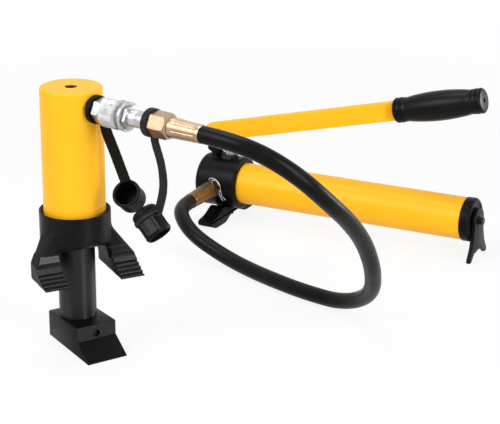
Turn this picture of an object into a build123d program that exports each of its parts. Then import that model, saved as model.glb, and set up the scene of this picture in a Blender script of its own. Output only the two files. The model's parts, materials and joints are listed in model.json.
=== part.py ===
from build123d import *
import os
from math import cos, radians, sin, sqrt, tan

# Hydraulic door breaker: a spreader cylinder that stands on its wedge foot, and a lever hand pump,
# joined by a hose. Millimetres, +Z up. The origin is on the floor in the middle of the footprint,
# and the pump's axis runs along +X.

# Fits
RUN_FIT = 0.05
SOFT_FIT = 0.25
FACE_GAP = 0.3

# Places on the floor
PUMP_X = -152
PUMP_Y = 257
TOOL_X = -124
TOOL_Y = -250
TOOL_TURN = -29.4
COUPLER_TURN = -11.9

# Wedge foot
WEDGE_HEIGHT = 38.6
WEDGE_REAR = 27
WEDGE_FRONT = 45.9
WEDGE_TIP = 72.7
WEDGE_FACE_FOOT = 20.6
WEDGE_WIDTH = 54
WEDGE_TIP_FLAT = 1.2
SOLE_RISE = 5.8
RAM_SOCKET_D = 34
RAM_SOCKET_DEPTH = 20
SET_SCREW_D = 8
SET_SCREW_Z = 27
SET_SCREW_RECESS = 4
SET_SCREW_KEY = 4

# Ram and piston
RAM_D = 46
RAM_OUT = 94.4
RAM_EXTEND = 28
RAM_HOLLOW_D = 28
RAM_FLOOR = 28
RAM_TAIL_D = 36
PISTON_LENGTH = 20
PISTON_STOP = 1
SEAL_WIDTH = 6
SEAL_DEPTH = 4
WEAR_RING_WIDTH = 5
WEAR_RING_DEPTH = 2
PISTON_LAND = 3

# Barrel
BARREL_D = 76
BARREL_LENGTH = 184
BARREL_ROOF = 15
BARREL_EDGE = 2.5
BORE_D = 52
BARREL_SPIGOT_D = 68
BARREL_SPIGOT_LENGTH = 20
BARREL_LINE_UP = 5
BARREL_LINE_WIDTH = 1.2
BARREL_LINE_DEPTH = 0.6
LIFT_THREAD_D = 16
LIFT_THREAD_DEPTH = 10
PORT_DOWN = 21
PORT_THREAD_D = 16
PORT_DRILL_D = 8
BUSH_LENGTH = 22

# Jaw collar
COLLAR_D = 87.6
COLLAR_HEIGHT = 42.6
COLLAR_FLOOR = 12
COLLAR_LEAD_IN = 4.6
COLLAR_RAM_GAP = 0.6
WIPER_WIDTH = 5
WIPER_HEIGHT = 5
CLAW_TURN = -7
CLAW_GAP = 66
CLAW_WIDTH = 31.2
CLAW_REACH = 62.5
CLAW_DROP = 35
CLAW_NOSE = 2
CLAW_FACET_RUN = 29
CLAW_FACET_RISE = 17
CLAW_BROW = 6.4
CLAW_BROW_LEAN = 1
CLAW_LEDGE_RUN = 4.8
CLAW_LEDGE_RISE = 5
CLAW_ROOT_X = 24
CLAW_BACK_IN = 11.6
CLAW_BACK_OUT = 13.3
CLAW_HEEL_RISE = 3
CLAW_FLARE_UP = 27
CLAW_FULL_DOWN = 12
CLAW_FALL_OUT = 1.33
CLAW_FALL_FORWARD = 0.15
CLAW_WEB = 5
CLAW_WEB_DROP = 20
COLLAR_ARCH = 8
COLLAR_ARCH_RUN = 14
RIDGE_COUNT = 4
RIDGE_TO_NOSE = 3.6
RIDGE_PITCH = 6.6
RIDGE_WIDTH = 3.2
RIDGE_DEPTH = 1.6

# Return spring
SPRING_D = 18
SPRING_WIRE = 3
SPRING_TURNS = 26
SPRING_PLUG = 8
SPRING_POST = 10

# Quick coupler, measured outwards from the barrel's axis
NECK_D = 21
NECK_LENGTH = 7
NIPPLE_HEX = 27
NIPPLE_HEX_LENGTH = 11.7
HEX_TURN = -24
NIPPLE_BODY_D = 26
NIPPLE_BODY_LENGTH = 18
SLEEVE_D = 36
SLEEVE_GRIP_LENGTH = 26
SLEEVE_GROOVE_D = 27
SLEEVE_GROOVE = 3
SLEEVE_TAIL = 7
SLEEVE_TAIL_EDGE = 0.8
SOCKET_D = 21
SOCKET_FLANGE = 5
SOCKET_OUT = 32
SOCKET_HEX = 26
SOCKET_HEX_LENGTH = 5.7
SOCKET_THREAD_D = 16
SOCKET_THREAD = 12
BORE_COUPLER_D = 7
POPPET_D = 6
POPPET_LENGTH = 15

# Dust caps
RING_D = 34.5
RING_WIDTH = 6.4
HOSE_RING_WIDTH = 8
TOOL_STRAP_WIDTH = 16
HOSE_STRAP_WIDTH = 11
STRAP_THICK = 3
CAP_D = 33.5
CAP_WALL = 3
CAP_FLOOR = 4
CAP_LENGTH = 28
HOSE_CAP_LENGTH = 31
HOSE_CAP_CROWN = 7
HOSE_CAP_CROWN_EDGE = 6.5
HOSE_CAP_HOOP = 1.5
HOSE_CAP_HOOP_WIDTH = 6
HOSE_CAP_HOOP_S = 2
CAP_BEAD = 0.8
CAP_BEAD_WIDTH = 4

# Hose and its end fittings
HOSE_D = 21
HOSE_NUT_HEX = 28
HOSE_NUT_LENGTH = 26.7
FERRULE_D = 25
FERRULE_LENGTH = 45.5
FERRULE_TAPER = 1.5
FERRULE_BORE_D = 8
ADAPTER_HEX = 22
ADAPTER_HEX_LENGTH = 12
ADAPTER_THREAD_D = 13
ADAPTER_THREAD = 8
TAPE_D = 15
TAPE_WIDTH = 2
PUMP_FERRULE_LENGTH = 58
HOSE_LEAD_TOOL = 38
HOSE_LEAD_PUMP = 28

# Pump head and reservoir
PUMP_AXIS_Z = 54
HEAD_D = 76.7
HEAD_LENGTH = 65.5
HEAD_EDGE = 8
HEAD_LIP = 2
HEAD_FLAT_DEPTH = 2.35
TUBE_D = 60
TUBE_WALL = 3
TUBE_LENGTH = 346.6
TUBE_SPIGOT = 14
O_RING_WIDTH = 3
O_RING_DEPTH = 2
O_RING_FROM_END = 4
END_CAP_OVER = 1
END_CAP_LENGTH = 14.4
END_CAP_EDGE = 3

# Feet
FRONT_FOOT_X = -26.5
FRONT_FOOT_THICK = 22
FRONT_FOOT_SPREAD = 78
FRONT_FOOT_PAD = 15
FRONT_FOOT_ARCH = 9
FRONT_BOLT_D = 8
FRONT_BOLT_HEX = 13
FRONT_BOLT_HEAD = 5.5
FRONT_BOLT_GRIP = 9
REAR_FOOT_THICK = 5.5
REAR_FOOT_SPREAD = 34
REAR_FOOT_EYE_D = 36
REAR_FOOT_ARCH = 11
FILLER_THREAD_D = 8
FILLER_THREAD = 26
FILLER_HEX = 9.5
FILLER_HEAD = 5
FILLER_WASHER_D = 14
FILLER_WASHER = 1.2

# Handle
HANDLE_TILT = 13.6
FULCRUM_ARM = 21.5
FULCRUM_Z = 68
FULCRUM_PIN_D = 10
BAR_HEIGHT = 27
BAR_THICK = 10
BAR_RISE = 5.4
BAR_NOSE = 14
BAR_NOSE_ROUND = 9
BAR_EDGE = 1.2
BAR_LUG_D = 16
BAR_TO_GRIP = 293.3
TANG_HEIGHT = 20
TANG_LENGTH = 105
EAR_THICK = 6.5
EAR_LENGTH = 18
EAR_NECK_FRONT = 2
EAR_NECK_BACK = 6
EAR_NECK_Z = 44
PIN_OVERHANG = 3
CLIP_THICK = 1.4
CLIP_OVER = 2.6
GRIP_LENGTH = 132.5
GRIP_END_D = 35.6
GRIP_BULGE_D = 42
GRIP_BEAD = 6
GRIP_GROOVE = 2
GRIP_GROOVE_DEPTH = 0.9
GRIP_ROUND = 4
GRIP_HOLE_D = 6

# Plunger, worked by the handle through a fork with a level slot
PLUNGER_X = -25
PLUNGER_D = 14
PLUNGER_FOOT_Z = 9
PLUNGER_STUD_D = 8
FORK_WEB_Z = 48.5
FORK_WEB = 5
FORK_CHEEK = 4.5
FORK_TOP_UP = 7
FORK_SHOULDER_UP = 8
FORK_SIDE = 4.4
PLUNGER_PIN_D = 7
SLOT_SLACK = 0.35
HANDLE_UP = 30
GLAND_HEX = 24
GLAND_HEAD = 5.5
GLAND_SINK = 1.85
GLAND_THREAD_D = 20
GLAND_THREAD = 7
PLUNGER_SEAL = 4
CHAMBER_FOOT_Z = -23

# Valves in the pump head
BALL_D = 8
BALL_CHAMBER_D = 10.4
BALL_LIFT = 2
DELIVERY_X = -31.5
DELIVERY_OUT = 20
DELIVERY_DRILL = 5
DELIVERY_DRILL_Z = -20
DELIVERY_SEAT_Z = -14
DELIVERY_SPRING_D = 6
DELIVERY_WIRE = 0.8
DELIVERY_TURNS = 8
DELIVERY_ROOF_Z = 8
DELIVERY_PLUG_D = 12
DELIVERY_PLUG_SUNK = 1.5
DELIVERY_PLUG_KEY = 6
PORT_BORE_D = 6.4
SUCTION_Z = -9
SUCTION_DRILL = 6
SUCTION_SEAT_X = 2
SUCTION_PIPE_D = 10
SUCTION_PIPE_LENGTH = 52
SUCTION_BORE_D = 5
STRAINER_D = 16
STRAINER_LENGTH = 24
RELEASE_X = -44
RELEASE_DEPTH = 27
RELEASE_D = 8
RELEASE_KNOB_D = 28
RELEASE_KNOB_LENGTH = 15
RELEASE_STEM = 6
KNOB_FLUTES = 8
KNOB_FLUTE_D = 6
RELIEF_X = -14
RELIEF_Z = 16
RELIEF_D = 10
RELIEF_DEPTH = 14
RELIEF_HEX = 13
RELIEF_HEAD = 5

# Route of the hose between its two end fittings, chosen by hand
HOSE_POINTS = [
    (156, -294, 296),
    (193, -277, 269),
    (213, -245, 233),
    (218, -200, 198),
    (217, -150, 155),
    (208, -98, 98),
    (183, -46, 44),
    (131, -14, 13),
    (68, 3, 10.7),
    (12, 23, 10.7),
    (-42, 45, 11.5),
    (-89, 60, 19),
    (-132, 66, 36),
    (-163, 87, 48),
]

# Heights on the spreader that follow from the sizes above
COLLAR_Z = WEDGE_HEIGHT + RAM_OUT
COLLAR_TOP_Z = COLLAR_Z + COLLAR_HEIGHT
BARREL_Z = COLLAR_Z + COLLAR_FLOOR
BARREL_TOP_Z = BARREL_Z + BARREL_LENGTH
ROOF_Z = BARREL_TOP_Z - BARREL_ROOF
PORT_Z = BARREL_TOP_Z - PORT_DOWN
BUSH_TOP_Z = BARREL_Z + BUSH_LENGTH
PISTON_Z = BUSH_TOP_Z + RAM_EXTEND + PISTON_STOP
PISTON_TOP_Z = PISTON_Z + PISTON_LENGTH
RAM_FLOOR_Z = WEDGE_HEIGHT + RAM_FLOOR
SPRING_FOOT_Z = RAM_FLOOR_Z + SPRING_PLUG
CLAW_TIP_Z = COLLAR_Z - CLAW_DROP

# Distances along the coupler from the barrel's axis
NECK_S = BARREL_D / 2
HEX_S = NECK_S + NECK_LENGTH
NIPPLE_BODY_S = HEX_S + NIPPLE_HEX_LENGTH
NIPPLE_END_S = NIPPLE_BODY_S + NIPPLE_BODY_LENGTH
SLEEVE_S = NIPPLE_BODY_S + FACE_GAP
SLEEVE_GROOVE_S = SLEEVE_S + SLEEVE_GRIP_LENGTH
SLEEVE_TAIL_S = SLEEVE_GROOVE_S + SLEEVE_GROOVE
SLEEVE_END_S = SLEEVE_TAIL_S + SLEEVE_TAIL
SOCKET_S = NIPPLE_END_S + FACE_GAP
SLEEVE_SHOULDER_S = SOCKET_S + SOCKET_FLANGE + FACE_GAP
HOSE_RING_S = SLEEVE_END_S + SOCKET_OUT
HOSE_NUT_S = HOSE_RING_S + HOSE_RING_WIDTH + FACE_GAP
FERRULE_S = HOSE_NUT_S + HOSE_NUT_LENGTH
HOSE_S = FERRULE_S + FERRULE_LENGTH

# Distances along the pump's port, out from the pump's axis
HEAD_R = HEAD_D / 2
HEAD_FLAT_DOWN = HEAD_R - HEAD_FLAT_DEPTH
GLAND_SEAT_Z = HEAD_R - GLAND_SINK
GLAND_TOP_Z = GLAND_SEAT_Z + GLAND_HEAD
TAPE_Y = HEAD_R
ADAPTER_Y = TAPE_Y + TAPE_WIDTH
PUMP_FERRULE_Y = ADAPTER_Y + ADAPTER_HEX_LENGTH
HOSE_END_Y = PUMP_FERRULE_Y + PUMP_FERRULE_LENGTH

# Pump places
TUBE_R = TUBE_D / 2
TUBE_BORE_R = TUBE_R - TUBE_WALL
END_CAP_X = TUBE_LENGTH
REAR_FOOT_X = END_CAP_X + END_CAP_LENGTH
FULCRUM_X = PLUNGER_X - FULCRUM_ARM
EAR_INNER_Y = BAR_THICK / 2 + FACE_GAP
EAR_OUTER_Y = EAR_INNER_Y + EAR_THICK
CHEEK_OUTER_Y = EAR_INNER_Y + FORK_CHEEK
FORK_WEB_TOP_Z = FORK_WEB_Z + FORK_WEB
SLOT_BACK = FULCRUM_ARM * (1 - cos(radians(HANDLE_UP))) + PLUNGER_PIN_D / 2 + SLOT_SLACK
SLOT_FRONT = PLUNGER_PIN_D / 2 + SLOT_SLACK
DELIVERY_END_Y = HEAD_R - ADAPTER_THREAD

# Frames: X runs out along each named piece's own direction
TOOL = Pos(TOOL_X, TOOL_Y, 0) * Rot(0, 0, TOOL_TURN)
COUPLER = Pos(TOOL_X, TOOL_Y, PORT_Z) * Rot(0, 0, COUPLER_TURN)
PUMP = Pos(PUMP_X, PUMP_Y, PUMP_AXIS_Z)
HANDLE = PUMP * Pos(FULCRUM_X, 0, FULCRUM_Z) * Rot(0, -HANDLE_TILT, 0)
Z_TO_X = Rot(0, 90, 0)
Z_TO_NEAR = Rot(90, 0, 0)
Z_TO_FAR = Rot(-90, 0, 0)
COUPLER_AXIS = COUPLER * Z_TO_X
PUMP_AXIS = PUMP * Z_TO_X
PORT_AXIS = PUMP * Pos(DELIVERY_X, 0, 0) * Z_TO_NEAR

parts = {}


def rod(diameter, start, end):
    """A cylinder on the Z axis."""
    return Pos(0, 0, start) * Cylinder(
        diameter / 2, end - start, align=(Align.CENTER, Align.CENTER, Align.MIN)
    )


def pipe(outer, inner, start, end):
    """A hollow cylinder on the Z axis."""
    return rod(outer, start, end) - rod(inner, start, end)


def hex_bar(flats, start, end):
    """A hexagonal bar on the Z axis, with its corners eased at both ends as a turned hexagon's are."""
    bar = extrude(Pos(0, 0, start) * RegularPolygon(flats / 2, 6, major_radius=False), end - start)
    ease = flats * 0.04
    corner = flats / sqrt(3)
    round_bar = rod(2 * corner, start, end)
    return bar & chamfer(round_bar.edges().filter_by(GeomType.CIRCLE), ease)


def coil(diameter, wire, start, end, turns):
    """A coil spring on the Z axis; diameter is measured at the middle of the wire."""
    rise = end - start - wire
    path = Pos(0, 0, start + wire / 2) * Helix(rise / turns, rise, diameter / 2)
    return sweep(Plane(origin=path @ 0, z_dir=path % 0) * Circle(wire / 2), path=path, is_frenet=True)


def slab(points, near, far):
    """An outline in X and Z, thick from Y = near to Y = far."""
    face = Plane.XZ * make_face(Polyline(*points, close=True))
    return Pos(0, (near + far) / 2, 0) * extrude(face, (far - near) / 2, both=True)


def bulkhead(points, start, end):
    """An outline in Y and Z, thick from X = start to X = end."""
    face = Plane.YZ * make_face(Polyline(*points, close=True))
    return Pos(start, 0, 0) * extrude(face, end - start)


def both_sides(points):
    """An outline of half a shape, from the middle outwards and back, closed by its mirror image."""
    return points + [(-y, z) for y, z in reversed(points) if y != 0]


def twin(piece):
    """A piece and its mirror image across the XZ plane."""
    return piece + mirror(piece, about=Plane.XZ)


def clips(pin_diameter, inner_y):
    """A pair of retaining clips on a cross pin that lies along Y."""
    ring = pipe(pin_diameter + 2 * CLIP_OVER, pin_diameter, inner_y, inner_y + CLIP_THICK)
    return Z_TO_FAR * ring + Z_TO_NEAR * ring


# Wedge foot, its ram and the piston: the moving half of the spreader
wedge = slab(
    [
        (-WEDGE_REAR, SOLE_RISE),
        (-WEDGE_REAR, WEDGE_HEIGHT),
        (WEDGE_FRONT, WEDGE_HEIGHT),
        (WEDGE_FRONT, WEDGE_FACE_FOOT),
        (WEDGE_TIP, WEDGE_TIP_FLAT),
        (WEDGE_TIP, 0),
    ],
    -WEDGE_WIDTH / 2,
    WEDGE_WIDTH / 2,
)
socket_z = WEDGE_HEIGHT - RAM_SOCKET_DEPTH
screw_start = RAM_SOCKET_D / 2
screw_end = WEDGE_FRONT - SET_SCREW_RECESS
wedge -= rod(RAM_SOCKET_D + 2 * RUN_FIT, socket_z, WEDGE_HEIGHT)
wedge -= Pos(0, 0, SET_SCREW_Z) * Z_TO_X * rod(SET_SCREW_D + 2 * RUN_FIT, 0, WEDGE_FRONT)
parts["wedge_foot"] = TOOL * wedge

screw = rod(SET_SCREW_D, screw_start, screw_end)
screw -= hex_bar(SET_SCREW_KEY, screw_end - SET_SCREW_KEY, screw_end)
parts["wedge_set_screw"] = TOOL * Pos(0, 0, SET_SCREW_Z) * Z_TO_X * screw

ram = rod(RAM_D, WEDGE_HEIGHT, PISTON_Z)
ram += rod(RAM_SOCKET_D, socket_z, WEDGE_HEIGHT)
ram += rod(RAM_TAIL_D, PISTON_Z, PISTON_TOP_Z)
ram -= rod(RAM_HOLLOW_D, RAM_FLOOR_Z, PISTON_TOP_Z)
parts["ram"] = TOOL * ram

piston_d = BORE_D - 2 * RUN_FIT
seal_z = PISTON_TOP_Z - PISTON_LAND - SEAL_WIDTH
wear_z = PISTON_Z + PISTON_LAND
seal = pipe(piston_d, piston_d - 2 * SEAL_DEPTH, seal_z, seal_z + SEAL_WIDTH)
wear_ring = pipe(piston_d, piston_d - 2 * WEAR_RING_DEPTH, wear_z, wear_z + WEAR_RING_WIDTH)
parts["ram_piston"] = TOOL * (pipe(piston_d, RAM_TAIL_D, PISTON_Z, PISTON_TOP_Z) - seal - wear_ring)
parts["piston_seal"] = TOOL * seal
parts["piston_wear_ring"] = TOOL * wear_ring

# Return spring: closed coils over a post at each end, drawn out by the ram
post_d = SPRING_D - SPRING_WIRE - 2 * RUN_FIT
base = rod(RAM_HOLLOW_D, RAM_FLOOR_Z, SPRING_FOOT_Z) + rod(post_d, SPRING_FOOT_Z, SPRING_FOOT_Z + SPRING_POST)
hanger = rod(post_d, ROOF_Z - SPRING_POST, ROOF_Z)
parts["spring_base"] = TOOL * base
parts["spring_hanger"] = TOOL * hanger
spring = coil(SPRING_D, SPRING_WIRE, SPRING_FOOT_Z + RUN_FIT, ROOF_Z - RUN_FIT, SPRING_TURNS)
parts["return_spring"] = TOOL * spring

# Barrel: blind bore from below, a spigot that screws into the collar, the port and a lifting thread on top
barrel = rod(BARREL_D, BARREL_Z + BARREL_SPIGOT_LENGTH, BARREL_TOP_Z)
barrel = fillet(barrel.edges().group_by(Axis.Z)[-1], BARREL_EDGE)
barrel += rod(BARREL_SPIGOT_D, BARREL_Z, BARREL_Z + BARREL_SPIGOT_LENGTH)
barrel -= rod(BORE_D, BARREL_Z, ROOF_Z)
line_z = COLLAR_TOP_Z + BARREL_LINE_UP
barrel -= pipe(BARREL_D, BARREL_D - 2 * BARREL_LINE_DEPTH, line_z, line_z + BARREL_LINE_WIDTH)
barrel -= rod(LIFT_THREAD_D, BARREL_TOP_Z - LIFT_THREAD_DEPTH, BARREL_TOP_Z)
port_turn = COUPLER_TURN - TOOL_TURN
PORT = Pos(0, 0, PORT_Z) * Rot(0, 0, port_turn) * Z_TO_X
thread_s = BORE_D / 2 + (BARREL_D - BORE_D) / 8
barrel -= PORT * rod(PORT_DRILL_D, 0, BARREL_D)
barrel -= PORT * rod(PORT_THREAD_D, thread_s, BARREL_D)
parts["cylinder_barrel"] = TOOL * barrel
parts["guide_bush"] = TOOL * pipe(BORE_D, RAM_D + 2 * RUN_FIT, BARREL_Z, BUSH_TOP_Z)

# Jaw collar: a cup for the barrel's foot with two ridged claws that reach down beside the ram
wiper_d = RAM_D + 2 * WIPER_WIDTH
collar = rod(COLLAR_D, COLLAR_Z, COLLAR_TOP_Z)
arch_x = COLLAR_D / 2
collar -= slab(
    [(arch_x - COLLAR_ARCH_RUN, COLLAR_Z), (arch_x, COLLAR_Z), (arch_x, COLLAR_Z + COLLAR_ARCH)],
    -CLAW_GAP / 2,
    CLAW_GAP / 2,
)
claw_in = CLAW_GAP / 2
claw_out = claw_in + CLAW_WIDTH
facet_x = CLAW_REACH - CLAW_FACET_RUN
facet_z = CLAW_TIP_Z + CLAW_NOSE + CLAW_FACET_RISE
brow_x = facet_x - CLAW_BROW_LEAN
brow_z = facet_z + CLAW_BROW
flare_z = COLLAR_Z + CLAW_FLARE_UP
full_z = COLLAR_Z - CLAW_FULL_DOWN
claw = slab(
    [
        (CLAW_REACH, CLAW_TIP_Z),
        (CLAW_REACH, CLAW_TIP_Z + CLAW_NOSE),
        (facet_x, facet_z),
        (brow_x, brow_z),
        (brow_x - CLAW_LEDGE_RUN, brow_z + CLAW_LEDGE_RISE),
        (CLAW_ROOT_X, flare_z),
        (-CLAW_BACK_IN, flare_z),
        (-CLAW_BACK_IN, CLAW_TIP_Z + CLAW_HEEL_RISE),
    ],
    claw_in,
    claw_out,
)
plan = [
    (-CLAW_BACK_IN, claw_in),
    (CLAW_REACH, claw_in),
    (CLAW_REACH, claw_out),
    (CLAW_BACK_OUT, claw_out),
]
claw &= extrude(Pos(0, 0, CLAW_TIP_Z) * make_face(Polyline(*plan, close=True)), flare_z - CLAW_TIP_Z)
shoulder = Plane(origin=(CLAW_BACK_OUT, claw_out, full_z), z_dir=(CLAW_FALL_FORWARD, CLAW_FALL_OUT, 1))
above = (Align.CENTER, Align.CENTER, Align.MIN)
claw -= shoulder.location * Box(4 * COLLAR_D, 4 * COLLAR_D, COLLAR_D, align=above)
claw += bulkhead(
    [
        (claw_in + RIDGE_DEPTH, COLLAR_Z + RIDGE_DEPTH),
        (claw_in - CLAW_WEB, COLLAR_Z + RIDGE_DEPTH),
        (claw_in - CLAW_WEB, COLLAR_Z),
        (claw_in, COLLAR_Z - CLAW_WEB_DROP),
        (claw_in + RIDGE_DEPTH, COLLAR_Z - CLAW_WEB_DROP),
    ],
    -CLAW_BACK_IN,
    brow_x - CLAW_LEDGE_RUN,
)
facet_length = sqrt(CLAW_FACET_RUN**2 + CLAW_FACET_RISE**2)
ridge_start = facet_length - RIDGE_TO_NOSE - (RIDGE_COUNT - 1) * RIDGE_PITCH
for ridge in range(RIDGE_COUNT):
    share = (ridge_start + ridge * RIDGE_PITCH) / facet_length
    groove = Box(RIDGE_WIDTH, 2 * CLAW_WIDTH, 2 * RIDGE_DEPTH)
    groove_x = facet_x + share * CLAW_FACET_RUN
    groove_z = facet_z - share * CLAW_FACET_RISE
    lean = Plane(
        origin=(groove_x, claw_out - CLAW_WIDTH / 2, groove_z),
        x_dir=(CLAW_FACET_RUN, 0, -CLAW_FACET_RISE),
        z_dir=(CLAW_FACET_RISE, 0, CLAW_FACET_RUN),
    )
    claw -= lean.location * groove
collar += twin(claw)
collar -= rod(BARREL_SPIGOT_D + 2 * RUN_FIT, BARREL_Z, COLLAR_TOP_Z)
collar -= rod(BARREL_D + 2 * RUN_FIT, BARREL_Z + BARREL_SPIGOT_LENGTH, COLLAR_TOP_Z)
collar -= Pos(0, 0, COLLAR_TOP_Z - COLLAR_LEAD_IN / 2) * Cone(
    BARREL_D / 2 + RUN_FIT, BARREL_D / 2 + RUN_FIT + COLLAR_LEAD_IN, COLLAR_LEAD_IN
)
collar -= rod(RAM_D + 2 * COLLAR_RAM_GAP, COLLAR_Z, BARREL_Z)
collar -= rod(wiper_d, COLLAR_Z, COLLAR_Z + WIPER_HEIGHT)
parts["jaw_collar"] = TOOL * Rot(0, 0, CLAW_TURN) * collar
parts["rod_wiper"] = TOOL * pipe(wiper_d, RAM_D + 2 * RUN_FIT, COLLAR_Z, COLLAR_Z + WIPER_HEIGHT)

# Quick coupler: plated nipple in the barrel's port, screw sleeve, and the socket on the hose
nipple = rod(PORT_THREAD_D - 2 * RUN_FIT, thread_s, NECK_S)
nipple += rod(NECK_D, NECK_S, HEX_S)
nipple += Rot(0, 0, HEX_TURN) * hex_bar(NIPPLE_HEX, HEX_S, NIPPLE_BODY_S)
nipple += rod(NIPPLE_BODY_D, NIPPLE_BODY_S, NIPPLE_END_S)
nipple -= rod(BORE_COUPLER_D, 0, NIPPLE_END_S)
nipple -= rod(BARREL_D, 0, thread_s)
parts["coupler_nipple"] = COUPLER_AXIS * nipple

sleeve = rod(SLEEVE_D, SLEEVE_S, SLEEVE_GROOVE_S)
sleeve = chamfer(sleeve.edges().filter_by(GeomType.CIRCLE), RIDGE_DEPTH)
sleeve += rod(SLEEVE_GROOVE_D, SLEEVE_GROOVE_S, SLEEVE_TAIL_S)
tail = rod(SLEEVE_D, SLEEVE_TAIL_S, SLEEVE_END_S)
tail = chamfer(tail.edges().group_by(Axis.Z)[0], (SLEEVE_D - SLEEVE_GROOVE_D) / 2)
sleeve += chamfer(tail.edges().group_by(Axis.Z)[-1], SLEEVE_TAIL_EDGE)
sleeve -= rod(NIPPLE_BODY_D + 2 * RUN_FIT, SLEEVE_S, SLEEVE_SHOULDER_S)
sleeve -= rod(SOCKET_D + 2 * RUN_FIT, SLEEVE_S, SLEEVE_END_S)
parts["coupler_sleeve"] = COUPLER_AXIS * sleeve

socket_end_s = HOSE_NUT_S
socket = rod(NIPPLE_BODY_D, SOCKET_S, SOCKET_S + SOCKET_FLANGE)
socket += rod(SOCKET_D, SOCKET_S, socket_end_s)
socket_hex_s = SLEEVE_END_S + FACE_GAP
socket += Rot(0, 0, HEX_TURN) * hex_bar(SOCKET_HEX, socket_hex_s, socket_hex_s + SOCKET_HEX_LENGTH)
socket += rod(SOCKET_THREAD_D, socket_end_s, socket_end_s + SOCKET_THREAD)
socket -= rod(BORE_COUPLER_D, SOCKET_S, socket_end_s + SOCKET_THREAD)
parts["coupler_socket"] = COUPLER_AXIS * socket
parts["nipple_poppet"] = COUPLER_AXIS * rod(POPPET_D, NIPPLE_END_S - POPPET_LENGTH, NIPPLE_END_S)
parts["socket_poppet"] = COUPLER_AXIS * rod(POPPET_D, SOCKET_S, SOCKET_S + POPPET_LENGTH)


def cup(length):
    """A dust cap's cup, with its mouth at the origin facing +Z and a bead round the rim."""
    shell = rod(CAP_D, -length, 0)
    shell = fillet(shell.edges().group_by(Axis.Z)[0], CAP_WALL / 2)
    shell += rod(CAP_D + 2 * CAP_BEAD, -CAP_BEAD_WIDTH, 0)
    return shell - rod(CAP_D - 2 * CAP_WALL, CAP_FLOOR - length, 0)


def strap(points, width, side, bend):
    """A flat strap in the upright plane through the coupler's axis, shifted sideways by side."""
    line = FilletPolyline(*points, radius=bend)
    return Pos(0, side, 0) * extrude(Plane.XZ * trace(line, width), STRAP_THICK / 2, both=True)


# Dust cap of the tool's half: its ring sits on the nipple's neck, and the open cup hangs beside the barrel
tool_cap_mouth = (83.5, 2, -96)
tool_cap_facing = (0.23, -0.76, 0.61)
tool_ring_s = NECK_S + FACE_GAP
tool_strap_s = tool_ring_s + RING_WIDTH / 2 + TOOL_STRAP_WIDTH / 2
ring = pipe(RING_D, NECK_D + 2 * SOFT_FIT, tool_ring_s, tool_ring_s + RING_WIDTH)
strap_points = [(tool_strap_s, 1 - RING_D / 2), (tool_strap_s, -RING_D / 2 - 9), (80, -84)]
tool_cup = Plane(origin=tool_cap_mouth, z_dir=tool_cap_facing).location * cup(CAP_LENGTH)
tool_hollow = Plane(origin=tool_cap_mouth, z_dir=tool_cap_facing).location * rod(
    CAP_D - 2 * CAP_WALL, CAP_FLOOR - CAP_LENGTH, CAP_LENGTH
)
tool_strap = strap(strap_points, TOOL_STRAP_WIDTH, 6, 14) - tool_hollow
parts["dust_cap_tool"] = COUPLER * (Z_TO_X * ring + tool_strap + tool_cup)

# Dust cap of the hose's half: its ring sits on the socket, and the cup hangs mouth down
hose_cap_foot = (114.5, 2, -116)
hose_cap_facing = (0.72, 0, -0.69)
hose_strap_s = HOSE_RING_S + HOSE_RING_WIDTH - HOSE_STRAP_WIDTH / 2
ring = pipe(RING_D, SOCKET_D + 2 * SOFT_FIT, HOSE_RING_S, HOSE_RING_S + HOSE_RING_WIDTH)
strap_points = [
    (hose_strap_s, 2 - RING_D / 2),
    (hose_strap_s, -RING_D / 2 - 6),
    (140, -54),
    (140, -80),
    (131.5, -111),
]
cup_place = Plane(origin=hose_cap_foot, z_dir=hose_cap_facing).location * Pos(0, 0, HOSE_CAP_LENGTH)
hose_hollow = cup_place * rod(CAP_D - 2 * CAP_WALL, CAP_FLOOR - HOSE_CAP_LENGTH, HOSE_CAP_LENGTH)
hose_strap = strap(strap_points, HOSE_STRAP_WIDTH, 5, [12, 24, 24]) - hose_hollow
crown = rod(CAP_D, -HOSE_CAP_LENGTH - HOSE_CAP_CROWN, CAP_FLOOR - CAP_WALL / 2 - HOSE_CAP_LENGTH)
crown = fillet(crown.edges().group_by(Axis.Z)[0], HOSE_CAP_CROWN_EDGE)
hoop_start = HOSE_CAP_HOOP_S - HOSE_CAP_LENGTH
hoop_d = CAP_D + 2 * HOSE_CAP_HOOP
crown += pipe(hoop_d, CAP_D - CAP_WALL, hoop_start, hoop_start + HOSE_CAP_HOOP_WIDTH)
hose_cup = cup(HOSE_CAP_LENGTH) + crown
parts["dust_cap_hose"] = COUPLER * (Z_TO_X * ring + hose_strap + cup_place * hose_cup)

# Brass fittings on the hose's ends
nut = Rot(0, 0, HEX_TURN) * hex_bar(HOSE_NUT_HEX, HOSE_NUT_S, FERRULE_S)
nut -= rod(FERRULE_BORE_D, HOSE_NUT_S, FERRULE_S)
nut -= rod(SOCKET_THREAD_D + 2 * RUN_FIT, HOSE_NUT_S, HOSE_NUT_S + SOCKET_THREAD + FACE_GAP)
parts["hose_nut"] = COUPLER_AXIS * nut


def ferrule(start, end):
    """A crimped hose ferrule that narrows slightly towards the hose."""
    length = end - start
    shell = Pos(0, 0, start + length / 2) * Cone(FERRULE_D / 2, FERRULE_D / 2 - FERRULE_TAPER, length)
    return shell - rod(FERRULE_BORE_D, start, end)


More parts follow.
